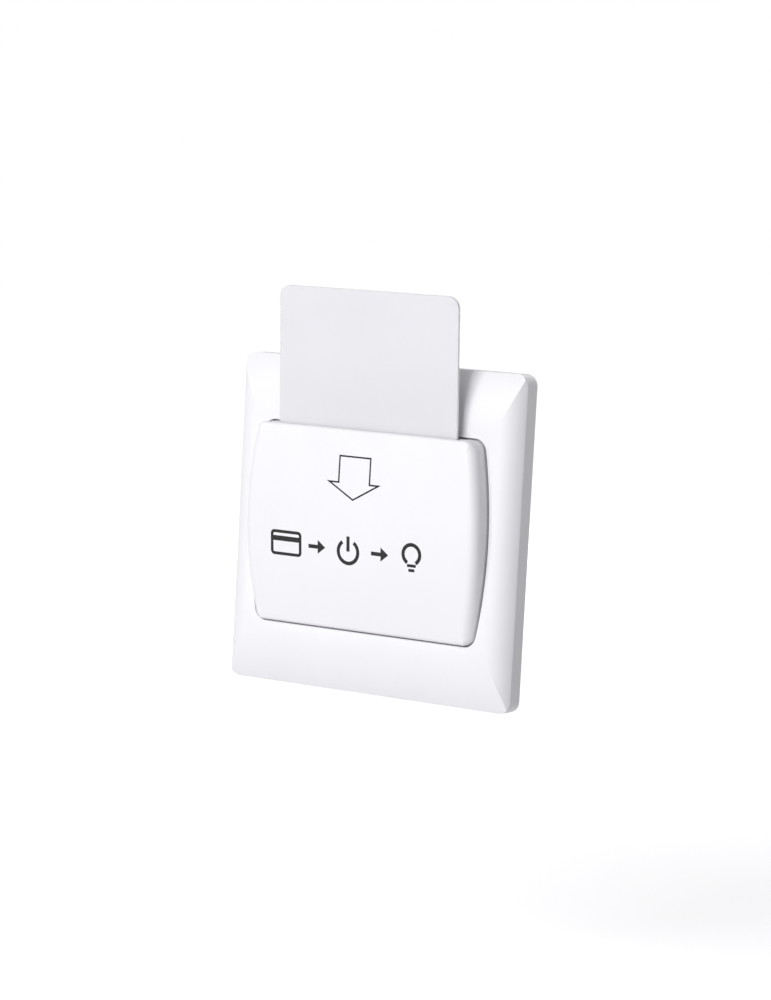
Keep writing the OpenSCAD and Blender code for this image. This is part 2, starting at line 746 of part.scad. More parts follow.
// One ring of the loft at an angle of the edge rounding: 0 is the side wall and 90 is the front
function front_ring(half, angle, side_round, end_round, wall, mid_z) =
    [for (p = half)
        let (round_r = end_round + (side_round - end_round) * p[2] * p[2])
        let (inset = round_r * (1 - cos(angle)))
        let (z = p[1] - p[3] * inset + mid_z)
        [p[0] - p[2] * inset, front_y(z) + wall + round_r * (1 - sin(angle)), z]];

function mirrored_back(half) =
    [for (i = [len(half) - 1 : -1 : 0]) [-half[i][0], half[i][1], half[i][2]]];

// A barrel-shaped block whose front follows the crown, a wall's thickness behind it
module crowned_block(half, side_round, end_round, wall, mid_z, back_y, round_steps) {
    rings = concat(
        [[for (p = half) [p[0], back_y, p[1] + mid_z]]],
        [for (k = [0 : round_steps])
            front_ring(half, 90 * k / round_steps, side_round, end_round, wall, mid_z)]
    );
    n = len(half);
    m = 2 * n;
    last = (len(rings) - 1) * m;
    points = [for (ring = rings) each concat(ring, mirrored_back(ring))];
    walls = [for (k = [0 : len(rings) - 2], i = [0 : m - 1])
        let (a = k * m + i, b = k * m + (i + 1) % m)
        each [[a, a + m, b + m], [a, b + m, b]]];
    front = [for (i = [0 : n - 2])
        let (left = last + m - 1 - i, right = last + i)
        each [[right, left, left - 1], [right, left - 1, right + 1]]];
    polyhedron(points = points, faces = concat(walls, front, [[for (i = [0 : m - 1]) i]]));
}

module cover_body() {
    crowned_block(
        half_outline(cover_half_w, cover_half_h, cover_side_r, cover_corner_r, 30, 8),
        cover_side_round, cover_end_round, 0, cover_z, flange_rear_y, 9
    );
}

module cover_cavity() {
    crowned_block(
        half_outline(
            cover_half_w - cover_wall, cavity_half_h, cover_side_r - cover_wall, cavity_corner_r, 12, 3
        ),
        cavity_round, cavity_round, cover_front_wall, cavity_z, flange_rear_y + cut, 3
    );
}

module card_ribs() {
    left_and_right() in_card_frame() box(
        [card_rib_x, front_y(0), 0],
        [card_rib_x + card_rib_w, -card_t / 2 - card_front_gap, cover_h + cut]
    );
}

module card_slot() {
    slot_half = card_w / 2 + slot_side_gap;
    in_card_frame() box(
        [-slot_half, -card_t / 2 - slot_front_gap, cover_h - cover_floor_wall - 2 * cover_wall - cut],
        [slot_half, card_t / 2 + slot_rear_gap, cover_h + cut]
    );
}

module card_cover() {
    color("white") difference() {
        union() {
            cover_body();
            translate([0, 0, cover_z]) {
                along_y(flange_front_y, flange_rear_y) barrel(flange_land);
                along_y(flange_front_y + flange_step, flange_rear_y) barrel(flange_w);
            }
        }
        difference() {
            cover_cavity();
            card_ribs();
            for (at = guide_screw_places) rod_y(at, front_y(0), tab_front_y, boss_r);
        }
        card_slot();
        for (at = guide_screw_places) {
            rod_y(at, tab_front_y - thread_depth - pilot_spare, tab_front_y + cut, screw_r + pilot_gap);
        }
    }
}

// A slab that leans with the card, between two offsets from the card's middle
module leaning_slab(front, rear) {
    polygon([
        [card_y(guide_bottom_z) + front, guide_bottom_z], [card_y(guide_bottom_z) + rear, guide_bottom_z],
        [card_y(guide_top_z) + rear, guide_top_z], [card_y(guide_top_z) + front, guide_top_z]
    ]);
}

// A wall from an offset from the card's middle back to the plane of the screw tabs
module wall_to_tabs(front, z0) {
    polygon([
        [card_y(z0) + front, z0], [tab_rear_y, z0],
        [tab_rear_y, guide_top_z], [card_y(guide_top_z) + front, guide_top_z]
    ]);
}

module card_guide() {
    notch_top_z = finger_high_z + finger_swing + finger_gap;
    rib_low_z = nose_z + pivot_rise / 2;
    tab_half_h = boss_r + cover_side_room;
    color("gainsboro") difference() {
        union() {
            along_x(-rail_out, rail_out) leaning_slab(guide_rear - guide_wall, guide_rear);
            left_and_right() along_x(rail_in, rail_out) wall_to_tabs(-card_t / 2, guide_bottom_z);
            for (x = guide_rib_x) left_and_right() along_x(x, x + rail_t)
                wall_to_tabs(guide_rear - guide_wall / 2, rib_low_z);
            for (s = ends) translate([0, 0, cover_z + s * guide_screw_z]) left_and_right() box(
                [rail_out - rail_t / 2, tab_front_y, -tab_half_h], [boss_x + boss_r, tab_rear_y, tab_half_h]
            );
        }
        box(
            [-finger_w / 2 - finger_gap, card_y(guide_top_z), guide_bottom_z - cut],
            [finger_w / 2 + finger_gap, plate_front_y, notch_top_z]
        );
        for (at = guide_screw_places) {
            rod_y(at, tab_front_y - cut, tab_rear_y + cut, screw_r + through_gap);
        }
    }
}

// A pan-headed screw whose head rests on depth y, with its shank towards the front
module rear_screw(at, y, shank_r, shank_l, head_r, head_h) {
    translate([at[0], y, at[1]]) rotate([-90, 0, 0]) difference() {
        union() {
            translate([0, 0, -shank_l]) cylinder(r = shank_r, h = shank_l + head_h / 2);
            screw_head(head_r, head_h);
        }
        cross_recess(head_r, head_h);
    }
}

module screw_head(head_r, head_h) {
    edge = head_h * 0.4;
    rotate_extrude() {
        square([head_r - edge, head_h]);
        square([head_r, head_h - edge]);
        intersection() {
            translate([head_r - edge, head_h - edge]) circle(r = edge);
            square([head_r, head_h]);
        }
    }
}

module cross_recess(head_r, head_h) {
    reach = head_r * 0.6;
    half_w = head_r * 0.13;
    floor_z = head_h * 0.45;
    for (turn = [0, 90]) rotate(turn) box([-reach, -half_w, floor_z], [reach, half_w, head_h + cut]);
}

module guide_screws() {
    color("silver") for (at = guide_screw_places) {
        rear_screw(at, tab_rear_y, screw_r, guide_tab_t + thread_depth, screw_head_r, screw_head_h);
    }
}

module key_card() {
    color("lavender") in_card_frame() along_y(-card_t / 2, card_t / 2)
        translate([0, card_h / 2]) rounded_rect(card_w, card_h, card_corner_r);
}

module lever_ears() {
    left_and_right() along_x(ear_span / 2, ear_span / 2 + ear_t) {
        translate([-mount_t / 2, pivot_z - ear_r]) square([pivot_y + mount_t / 2, 2 * ear_r]);
        translate([pivot_y, pivot_z]) circle(r = ear_r);
    }
}

// Pockets above and below the housing: two near the middle and one in each corner
module rear_pockets() {
    strip_z = (housing_half_h + mount_h / 2) / 2;
    corner_x = mount_w / 2 - mount_corner_r - pocket_h / 2;
    above_and_below(0) left_and_right() translate([0, 0, strip_z]) along_y(-pocket_d, cut) {
        translate([pocket_x, 0]) rounded_rect(pocket_w, pocket_h, field_corner_r);
        translate([corner_x, 0]) rounded_rect(pocket_h, pocket_h, field_corner_r);
    }
}

module mounting_plate() {
    rebate_half_w = (hook_w + hook_t) / 2;
    recess_r = wall_screw_head_r + wall_recess_gap;
    color("whitesmoke") difference() {
        union() {
            along_y(plate_front_y, 0) rounded_rect(mount_w, mount_h, mount_corner_r);
            lever_ears();
            for (at = post_places) rod_y(at, -mount_t / 2, board_front_y, post_r);
        }
        for (s = ends) translate([s * wall_screw_x, 0, 0]) {
            along_y(plate_front_y - cut, cut) slot_shape(wall_slot_l, wall_slot_r);
            along_y(plate_front_y - cut, recess_y)
                slot_shape(wall_slot_l + 2 * (recess_r - wall_slot_r), recess_r);
        }
        box(
            [-finger_w / 2 - finger_gap, plate_front_y - cut, finger_low_z - finger_gap],
            [finger_w / 2 + finger_gap, cut, finger_high_z + finger_swing + finger_gap]
        );
        above_and_below(0) left_and_right() box(
            [plate_hook_x - rebate_half_w, plate_front_y + hook_ledge, mount_h / 2 - 2 * hook_barb],
            [plate_hook_x + rebate_half_w, cut, mount_h / 2 + cut]
        );
        rear_pockets();
        for (at = ear_places) rod_y(at, plate_front_y - cut, cut, housing_screw_r + pilot_gap);
        for (at = post_places) {
            rod_y(at, board_front_y - thread_depth - pilot_spare, board_front_y + cut, screw_r + pilot_gap);
        }
        rod_x(-pin_l, pin_l, pivot_y, pivot_z, pin_r + pin_gap);
    }
}

module wall_screws() {
    color("silver") for (s = ends) translate([s * wall_screw_x, 0, 0]) {
        translate([0, recess_y, 0]) rotate([90, 0, 0]) difference() {
            screw_head(wall_screw_head_r, wall_screw_head_h);
            cross_recess(wall_screw_head_r, wall_screw_head_h);
        }
        rod_y([0, 0], recess_y, 0, wall_screw_neck_r);
        rod_y([0, 0], 0, wall_screw_reach, wall_screw_r);
    }
}

// The housing's form, shrunk by an amount behind every face, opening towards the front
module housing_form(shrink, front) {
    r = housing_edge_r - shrink / 2;
    mirror([0, 1, 0]) rolled_block(
        housing_half_w - shrink, housing_half_h - shrink, housing_corner_r - shrink / 2,
        r, r, r, r, -housing_d + shrink, -front
    );
}

// Vent slots through the side walls and the top wall
module vents() {
    side_y = (board_rear_y + housing_inner_y) / 2;
    top_y = housing_inner_y - (top_vent_l + vent_w) / 2;
    left_and_right() along_x(housing_half_w - housing_wall - cut, housing_half_w + cut)
        for (i = [0 : side_vents - 1]) translate([side_y, (i - (side_vents - 1) / 2) * vent_pitch])
            slot_shape(side_vent_l, vent_w / 2);
    along_z(housing_half_h - housing_wall - cut, housing_half_h + cut)
        for (i = [0 : top_vents - 1]) translate([(i - (top_vents - 1) / 2) * vent_pitch, top_y])
            rotate(90) slot_shape(top_vent_l, vent_w / 2);
}

module rear_housing() {
    window_x = terminal_block_w / 2 + window_gap;
    label_z = housing_half_h / 4;
    color("white") difference() {
        union() {
            housing_form(0, 0);
            for (at = ear_places) rod_y(at, 0, ear_plate_t, ear_plate_r);
            for (s = ends) translate([0, 0, s * ear_plate_z]) left_and_right() box(
                [housing_half_w - housing_wall / 2, 0, -ear_plate_r],
                [ear_plate_x, ear_plate_t, ear_plate_r]
            );
        }
        housing_form(housing_wall, -cut);
        box(
            [-window_x, board_rear_y - window_gap, -housing_half_h - cut],
            [window_x, terminal_rear_y + window_gap / 2, -housing_half_h + housing_wall + cut]
        );
        for (i = [0 : terminal_count - 1]) {
            rod_y([terminal_x(i), clamp_z], housing_inner_y - cut, housing_d + cut, driver_hole_r);
        }
        for (at = ear_places) rod_y(at, -cut, ear_plate_t + cut, housing_screw_r + through_gap);
        vents();
        translate([0, 0, label_z]) along_y(housing_d - label_depth, housing_d + cut)
            rounded_rect(label_size[0], label_size[1], field_corner_r);
    }
}

module housing_screws() {
    color("silver") for (at = ear_places) {
        rear_screw(at, ear_plate_t, housing_screw_r, housing_screw_l, housing_head_r, screw_head_h);
    }
}

module circuit_board() {
    leads = concat(
        relay_leads, film_leads, can_leads, bridge_leads,
        varistor_leads, fuse_leads, micro_leads, terminal_leads
    );
    color("seagreen") along_y(board_front_y, board_rear_y) difference() {
        rounded_rect(board_w, board_h, board_corner_r);
        for (at = leads) translate(at) circle(r = hole_r);
        for (at = post_places) translate(at) circle(r = screw_r + through_gap);
    }
}

module board_screws() {
    color("silver") for (at = post_places) {
        rear_screw(at, board_rear_y, screw_r, board_t + thread_depth, screw_head_r, screw_head_h);
    }
}

module card_lever() {
    arm_top_z = pivot_z - hub_r - hub_side_gap;
    color("dimgray") difference() {
        union() {
            rod_x(hub_x0, hub_x1, pivot_y, pivot_z, hub_r);
            along_x(-arm_w / 2, hub_x1) translate([arm_front_y, arm_top_z - cut])
                square([arm_t, pivot_z - arm_top_z + cut]);
            along_x(-arm_w / 2, arm_w / 2) translate([arm_front_y, finger_low_z])
                square([arm_t, arm_top_z - finger_low_z]);
            along_x(-finger_w / 2, finger_w / 2) {
                translate([nose_y + nose_r, nose_z]) circle(r = nose_r);
                polygon([
                    [arm_front_y + arm_t / 2, finger_low_z], [arm_front_y + arm_t / 2, finger_high_z],
                    [nose_y + finger_h, finger_high_z], [nose_y + nose_r * 0.3, nose_z + nose_r * 0.7],
                    [nose_y + nose_r, nose_z - nose_r], [nose_y + finger_h, finger_low_z]
                ]);
            }
        }
        rod_x(hub_x0 - cut, hub_x1 + cut, pivot_y, pivot_z, pin_r + pin_gap);
    }
}

module lever_pin() {
    color("silver") rod_x(-pin_l / 2, pin_l / 2, pivot_y, pivot_z, pin_r);
}

// The spring's path: a leg up to the coil, the turns, and a leg to the back of the plate
spring_x0 = hub_x1 + coil_gap + wire_r;
lever_lean = acos((arm_rear_y + leg_gap + wire_r - pivot_y) / sqrt(pow(coil_r, 2) + pow(lever_leg_l, 2)))
    - atan2(lever_leg_l, coil_r);
spring_start = lever_lean;
spring_end = 360 * coil_turns + 30;
plate_leg_l = (pivot_y + coil_r * cos(spring_end) - wire_r - leg_gap) / sin(spring_end);
spring_steps = 12 * coil_turns + 2;
function coil_point(a) = [
    spring_x0 + coil_pitch * (a - spring_start) / 360,
    pivot_y + coil_r * cos(a),
    pivot_z + coil_r * sin(a)
];
function coil_tangent(a) = [0, -sin(a), cos(a)];
spring_step = (spring_end - spring_start) / spring_steps;
spring_path = concat(
    [coil_point(spring_start) - lever_leg_l * coil_tangent(spring_start)],
    [for (i = [0 : spring_steps]) coil_point(spring_start + i * spring_step)],
    [coil_point(spring_end) + plate_leg_l * coil_tangent(spring_end)]
);

// Least gap between turns, measured between points that lie at least half a turn apart on the coil
spring_gap = min([for (i = [1 : spring_steps + 1], j = [1 : spring_steps + 1])
    if (j - i > 6) norm(spring_path[i] - spring_path[j])]) - 2 * wire_r;
echo(lever_spring_least_gap = spring_gap);

// A round wire along a path: each ring lies in the plane of X and the path's own normal
module wire(path, r, sides) {
    last = len(path) - 1;
    function heading(i) = path[min(i + 1, last)] - path[max(i - 1, 0)];
    function unit(v) = v / norm(v);
    points = [for (i = [0 : last])
        let (along = unit(heading(i)))
        let (across = unit([1, 0, 0] - along * along[0]))
        let (third = cross(along, across))
        each [for (k = [0 : sides - 1]) let (a = 360 * k / sides)
            path[i] + r * (across * cos(a) + third * sin(a))]];
    walls = [for (i = [0 : last - 1], k = [0 : sides - 1])
        let (a = i * sides + k, b = i * sides + (k + 1) % sides)
        each [[a, a + sides, b + sides], [a, b + sides, b]]];
    first_cap = [for (k = [0 : sides - 1]) k];
    last_cap = [for (k = [sides - 1 : -1 : 0]) last * sides + k];
    polyhedron(points = points, faces = concat(walls, [first_cap, last_cap]));
}

module lever_spring() {
    color("silver") wire(spring_path, wire_r, 6);
}

module microswitch_case() {
    bore_y = plunger_tip_y + plunger_l + plunger_proud;
    fixing_x = micro_l * 0.26;
    fixing_y = micro_front_y + micro_d * 0.7;
    color("black") difference() {
        union() {
            box(
                [micro_x - micro_l / 2, micro_front_y, plunger_z - micro_w / 2],
                [micro_x + micro_l / 2, board_front_y, plunger_z + micro_w / 2]
            );
            for (at = micro_leads) rod_y(at, board_front_y - cut, board_rear_y + lead_proud, lead_r);
        }
        rod_y([0, plunger_z], micro_front_y - cut, bore_y, plunger_r + plunger_gap);
        for (s = ends) translate([micro_x + s * fixing_x, fixing_y, plunger_z - micro_w])
            cylinder(r = screw_r, h = 2 * micro_w);
    }
}

module microswitch_plunger() {
    tip = plunger_r * 0.4;
    color("firebrick") translate([0, plunger_tip_y + plunger_l, plunger_z]) rotate([90, 0, 0])
        rotate_extrude() {
            square([plunger_r, plunger_l - tip]);
            square([plunger_r - tip, plunger_l]);
            intersection() {
                translate([plunger_r - tip, plunger_l - tip]) circle(r = tip);
                square([plunger_r, plunger_l]);
            }
        }
}

// The leads of a board part, from its seat through the board
module leads(places) {
    for (at = places) rod_y(at, board_front_y - lead_proud, board_rear_y + lead_r, lead_r);
}

// A moulded component with rounded upright edges, seated on the board at [x, z]
module moulded_part(at, size) {
    along_y(board_rear_y, board_rear_y + size[2]) translate(at)
        rounded_rect(size[0], size[1], part_corner_r);
}

module power_relay() {
    color("royalblue") {
        moulded_part(relay_at, relay_size);
        leads(relay_leads);
    }
}

module film_capacitor() {
    color("gold") {
        moulded_part(film_at, film_size);
        leads(film_leads);
    }
}

module electrolytic_capacitor() {
    groove = 0.4;
    color("darkslategray") {
        translate([can_at[0], board_rear_y, can_at[1]]) rotate([-90, 0, 0]) rotate_extrude() difference() {
            square([can_r, can_l]);
            translate([can_r, can_l * 0.14]) circle(r = groove);
        }
        leads(can_leads);
    }
}

module bridge_rectifier() {
    color("black") {
        rod_y(bridge_at, board_rear_y, board_rear_y + bridge_d, bridge_r);
        leads(bridge_leads);
    }
}

module varistor() {
    middle_y = board_rear_y + varistor_r + lead_proud;
    half_t = varistor_t / 2;
    color("steelblue") {
        rod_x(varistor_at[0] - half_t, varistor_at[0] + half_t, middle_y, varistor_at[1], varistor_r);
        for (at = varistor_leads) rod_y(at, board_front_y - lead_proud, middle_y, lead_r);
    }
}

module fuse_resistor() {
    middle_y = board_rear_y + fuse_r;
    half_wire = fuse_reach + lead_r;
    color("tan") {
        rod_x(fuse_at[0] - fuse_l / 2, fuse_at[0] + fuse_l / 2, middle_y, fuse_at[1], fuse_r);
        rod_x(fuse_at[0] - half_wire, fuse_at[0] + half_wire, middle_y, fuse_at[1], lead_r);
        for (at = fuse_leads) rod_y(at, board_front_y - lead_proud, middle_y, lead_r);
    }
}

module controller_chip() {
    leg_t = 0.2;
    color("black") {
        translate([chip_at[0], board_rear_y, chip_at[1]]) {
            box(
                [-chip_size[0] / 2, leg_t / 2, -chip_size[1] / 2],
                [chip_size[0] / 2, chip_size[2], chip_size[1] / 2]
            );
            for (k = [-1.5 : 1.5]) box(
                [k * chip_pitch - leg_t, 0, -chip_size[1] / 2 - chip_leg],
                [k * chip_pitch + leg_t, leg_t, chip_size[1] / 2 + chip_leg]
            );
        }
    }
}

module terminal_block() {
    pocket_w = clamp_w + 2 * clamp_gap;
    color("lightgray") difference() {
        box(
            [-terminal_block_w / 2, board_rear_y, mouth_z],
            [terminal_block_w / 2, terminal_rear_y, terminal_back_z]
        );
        for (i = [0 : terminal_count - 1]) translate([terminal_x(i), 0, 0]) {
            box(
                [-pocket_w / 2, board_rear_y - cut, clamp_z - clamp_h / 2 - clamp_gap],
                [pocket_w / 2, clamp_top_y + clamp_gap, clamp_z + clamp_h / 2 + clamp_gap]
            );
            rod_y([0, clamp_z], clamp_top_y, terminal_rear_y + cut, screw_hole_r);
            translate([0, wire_y, mouth_z - cut])
                cylinder(r = wire_entry_r, h = terminal_mouth + 2 * cut);
        }
    }
}

module terminal_clamps() {
    bottom_y = board_rear_y + clamp_gap;
    roof_y = clamp_top_y - clamp_roof;
    color("goldenrod") for (i = [0 : terminal_count - 1]) translate([terminal_x(i), 0, 0]) {
        difference() {
            box(
                [-clamp_w / 2, bottom_y, clamp_z - clamp_h / 2],
                [clamp_w / 2, clamp_top_y, clamp_z + clamp_h / 2]
            );
            box(
                [-clamp_w / 2 + clamp_wall, bottom_y + clamp_wall, clamp_z - clamp_h],
                [clamp_w / 2 - clamp_wall, roof_y, clamp_z + clamp_h]
            );
            rod_y([0, clamp_z], roof_y - cut, clamp_top_y + cut, terminal_screw_r + pilot_gap);
        }
        rod_y([0, clamp_z], board_front_y - lead_proud, bottom_y + clamp_wall / 2, lead_r);
    }
}

module terminal_screws() {
    head_y = clamp_top_y + clamp_gap;
    color("silver") for (i = [0 : terminal_count - 1]) {
        rear_screw(
            [terminal_x(i), clamp_z], head_y, terminal_screw_r, clamp_gap + clamp_roof + clamp_bite,
            terminal_head_r, terminal_head_h
        );
    }
}

outer_frame();
card_cover();
card_guide();
guide_screws();
key_card();
mounting_plate();
wall_screws();
rear_housing();
housing_screws();
circuit_board();
board_screws();
card_lever();
lever_pin();
lever_spring();
microswitch_case();
microswitch_plunger();
power_relay();
film_capacitor();
electrolytic_capacitor();
bridge_rectifier();
varistor();
fuse_resistor();
controller_chip();
terminal_block();
terminal_screws();
terminal_clamps();
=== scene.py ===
# %% [markdown]
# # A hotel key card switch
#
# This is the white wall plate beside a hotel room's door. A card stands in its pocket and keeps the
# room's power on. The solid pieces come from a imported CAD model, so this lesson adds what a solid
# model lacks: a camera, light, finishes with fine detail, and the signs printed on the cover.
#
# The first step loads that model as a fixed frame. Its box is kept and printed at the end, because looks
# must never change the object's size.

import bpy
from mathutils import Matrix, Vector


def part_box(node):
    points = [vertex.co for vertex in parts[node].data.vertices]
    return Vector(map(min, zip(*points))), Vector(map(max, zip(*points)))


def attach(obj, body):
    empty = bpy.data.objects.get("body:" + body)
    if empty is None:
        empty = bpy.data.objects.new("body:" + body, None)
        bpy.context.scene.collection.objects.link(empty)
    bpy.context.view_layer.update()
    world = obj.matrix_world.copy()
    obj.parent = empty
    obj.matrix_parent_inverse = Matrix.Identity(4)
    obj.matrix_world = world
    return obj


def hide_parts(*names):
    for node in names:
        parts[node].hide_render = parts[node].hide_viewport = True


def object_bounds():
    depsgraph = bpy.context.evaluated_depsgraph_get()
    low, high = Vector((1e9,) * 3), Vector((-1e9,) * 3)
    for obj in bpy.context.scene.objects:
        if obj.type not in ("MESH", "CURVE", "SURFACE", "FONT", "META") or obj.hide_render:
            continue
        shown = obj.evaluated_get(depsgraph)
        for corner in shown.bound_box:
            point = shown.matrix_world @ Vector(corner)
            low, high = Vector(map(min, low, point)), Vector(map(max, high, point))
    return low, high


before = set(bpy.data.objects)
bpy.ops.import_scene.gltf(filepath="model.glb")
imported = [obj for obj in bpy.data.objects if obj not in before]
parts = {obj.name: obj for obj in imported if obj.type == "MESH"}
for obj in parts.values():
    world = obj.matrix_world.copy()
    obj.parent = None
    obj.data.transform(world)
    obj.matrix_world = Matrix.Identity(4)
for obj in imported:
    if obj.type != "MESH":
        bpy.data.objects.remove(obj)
cad_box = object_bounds()
print("pieces in the packed part:", len(parts))

# %% [markdown]
# ## The camera
#
# A product photographer stands a little to the right of the plate and slightly above it, with a long
# lens that keeps the edges nearly parallel. A camera could be turned by hand with Euler angles. Here it
# is built from three directions instead: one from the plate back to the camera, one to the right and
# one up. These become the columns of its matrix, which makes a small roll easy to add.

# %% Camera directions
import math

from mathutils import Matrix, Vector

CAMERA_AZIMUTH = math.radians(32.5)
CAMERA_ELEVATION = math.radians(5.74)
CAMERA_ROLL = math.radians(3.06)


def direction(azimuth, elevation):
    """A unit vector from the plate's middle: azimuth 0 is in front, and positive is to the right."""
    flat = math.cos(elevation)
    return Vector((math.sin(azimuth) * flat, -math.cos(azimuth) * flat, math.sin(elevation)))


toward_camera = direction(CAMERA_AZIMUTH, CAMERA_ELEVATION)
level_right = Vector((math.cos(CAMERA_AZIMUTH), math.sin(CAMERA_AZIMUTH), 0))
roll = Matrix.Rotation(CAMERA_ROLL, 3, toward_camera)
camera_right = roll @ level_right
camera_up = toward_camera.cross(camera_right)
print("from the plate to the camera:", [round(x, 3) for x in toward_camera])

# %% [markdown]
# A camera looks along its own -Z axis with +Y up, so the three directions are its X, Y and Z axes. Its
# distance, lens and shift were fitted to the edges of the plate and the card. Lengths are in metres
# unless the text says otherwise. The lens is in millimetres, as on a real one.

# %% Camera at the photograph's angle
import bpy

CAMERA_DISTANCE = 0.8658
CAMERA_LENS = 120.4
CAMERA_SHIFT = (0.0003, 0.0283)

camera_data = bpy.data.cameras.new("camera")
camera_data.lens = CAMERA_LENS
camera_data.shift_x, camera_data.shift_y = CAMERA_SHIFT
camera = bpy.data.objects.new("camera", camera_data)
axes = Matrix((camera_right, camera_up, toward_camera)).transposed()
camera.matrix_world = Matrix.Translation(toward_camera * CAMERA_DISTANCE) @ axes.to_4x4()
bpy.context.scene.collection.objects.link(camera)
bpy.context.scene.camera = camera
bpy.context.scene.view_settings.view_transform = "Standard"
print("camera at", [round(x, 3) for x in camera.location])

# %% [markdown]
# ## The light
#
# White plastic shows its form only by shading, so the light decides how well it reads. An even grey sky
# lights every side a little. The background should still be pure white, without more light on the
# object. The Light Path node tells rays from the camera, and rays seen in gloss or glass, from those that
# light surfaces. The former see white.

# %% World
WHITE = (1, 1, 1, 1)
SKY_COLOUR = (0.97, 0.97, 1, 1)
SKY_STRENGTH = 0.2


def combine(tree, operation, values):
    """Joins numbers by a Math operation. Of values that are 0 or 1, MAXIMUM is any and MINIMUM is all."""
    result = values[0]
    for value in values[1:]:
        node = tree.nodes.new("ShaderNodeMath")
        node.operation = operation
        tree.links.new(result, node.inputs[0])
        tree.links.new(value, node.inputs[1])
        result = node.outputs[0]
    return result


def seen_directly(tree):
    """1 for rays from the camera, in gloss and through glass, and 0 for light on surfaces."""
    path = tree.nodes.new("ShaderNodeLightPath")
    kinds = ("Is Camera Ray", "Is Glossy Ray", "Is Transmission Ray")
    return combine(tree, "MAXIMUM", [path.outputs[kind] for kind in kinds])


world = bpy.data.worlds.new("white_studio")
bpy.context.scene.world = world
world.use_nodes = True
sky_tree = world.node_tree
sky = sky_tree.nodes["Background"]
sky.inputs["Color"].default_value = SKY_COLOUR
sky.inputs["Strength"].default_value = SKY_STRENGTH
white_sky = sky_tree.nodes.new("ShaderNodeBackground")
white_sky.inputs["Color"].default_value = WHITE
sky_mix = sky_tree.nodes.new("ShaderNodeMixShader")
sky_tree.links.new(seen_directly(sky_tree), sky_mix.inputs[0])
sky_tree.links.new(sky.outputs[0], sky_mix.inputs[1])
sky_tree.links.new(white_sky.outputs[0], sky_mix.inputs[2])
sky_tree.links.new(sky_mix.outputs[0], sky_tree.nodes["World Output"].inputs["Surface"])
print("sky:", SKY_STRENGTH, "as light on surfaces, and white where it is seen")

# %% [markdown]
# One soft lamp stands in front, a little above and to the left. It leaves the right edges in half shade,
# throws a narrow shadow of the card on the plate and a faint one of the plate on the floor. A second lamp
# lights the rear, which only other views show. A lamp shines along its own -Z axis, so its Z axis is
# turned away from the plate.

# %% Lamps
LAMP_DISTANCE = 1.2


def add_lamp(name, azimuth, elevation, size, power):
    """A square area lamp that faces the plate's middle, placed by angles in degrees."""
    data = bpy.data.lights.new(name, "AREA")
    data.size = size
    data.energy = power
    lamp = bpy.data.objects.new(name, data)
    away = direction(math.radians(azimuth), math.radians(elevation))
    lamp.location = away * LAMP_DISTANCE
    lamp.rotation_euler = away.to_track_quat("Z", "Y").to_euler()
    bpy.context.scene.collection.objects.link(lamp)
    return lamp


key_lamp = add_lamp("key_lamp", azimuth=-7, elevation=24, size=0.7, power=10.9)
rear_lamp = add_lamp("rear_lamp", azimuth=180, elevation=15, size=0.8, power=6)
print("lamps:", key_lamp.name, "in front and", rear_lamp.name, "behind")

# %% [markdown]
# ## The floor
#
# The plate hangs on a wall in use, and the photograph shows it free on white. A pale floor some way
# below keeps the picture white and still takes a faint shadow. One large face is enough for it.

# %% Floor shape
import bmesh

FLOOR_DROP = 0.08
FLOOR_HALF_SIZE = 4


def mesh_object(name, shape):
    """Wraps a finished bmesh in an object that sits at the origin."""
    mesh = bpy.data.meshes.new(name)
    shape.to_mesh(mesh)
    shape.free()
    made = bpy.data.objects.new(name, mesh)
    bpy.context.scene.collection.objects.link(made)
    return made


floor_shape = bmesh.new()
bmesh.ops.create_grid(floor_shape, x_segments=1, y_segments=1, size=FLOOR_HALF_SIZE)
floor_z = cad_box[0].z - FLOOR_DROP
bmesh.ops.translate(floor_shape, vec=(0, 0, floor_z), verts=floor_shape.verts)
floor = mesh_object("floor", floor_shape)
print("floor at", round(floor_z, 3))

# %% [markdown]
# The floor is lit as any surface is, and a glow of its own is added, seen only by the camera and in
# reflections. The glow is weaker near the plate, where the shadow falls and would be drowned, and
# stronger far away, where the lamp's light fades. The distance is the length of the Object coordinates.

# %% Floor finish
FLOOR_COLOUR = (0.92, 0.92, 0.94, 1)
GLOW_DISTANCES = (0.3, 1.2)
GLOW_STRENGTHS = (0.5, 0.9)


def remap(tree, value, source, target, blend="LINEAR"):
    """Maps one range of numbers, given as (least, most), to another, and holds it at both ends."""
    node = tree.nodes.new("ShaderNodeMapRange")
    node.interpolation_type = blend
    for name, number in zip(("From Min", "From Max", "To Min", "To Max"), (*source, *target)):
        node.inputs[name].default_value = number
    tree.links.new(value, node.inputs["Value"])
    return node.outputs["Result"]


floor_finish = bpy.data.materials.new("pale_floor")
floor_finish.use_nodes = True
floor_tree = floor_finish.node_tree
floor_tree.nodes.remove(floor_tree.nodes["Principled BSDF"])
matt = floor_tree.nodes.new("ShaderNodeBsdfDiffuse")
matt.inputs["Color"].default_value = FLOOR_COLOUR
floor_place = floor_tree.nodes.new("ShaderNodeTexCoord")
floor_range = floor_tree.nodes.new("ShaderNodeVectorMath")
floor_range.operation = "LENGTH"
floor_tree.links.new(floor_place.outputs["Object"], floor_range.inputs[0])
floor_distance = floor_range.outputs["Value"]
glow_level = remap(floor_tree, floor_distance, GLOW_DISTANCES, GLOW_STRENGTHS, "SMOOTHSTEP")
glow_seen = combine(floor_tree, "MULTIPLY", [seen_directly(floor_tree), glow_level])
glow = floor_tree.nodes.new("ShaderNodeEmission")
floor_tree.links.new(glow_seen, glow.inputs["Strength"])
both = floor_tree.nodes.new("ShaderNodeAddShader")
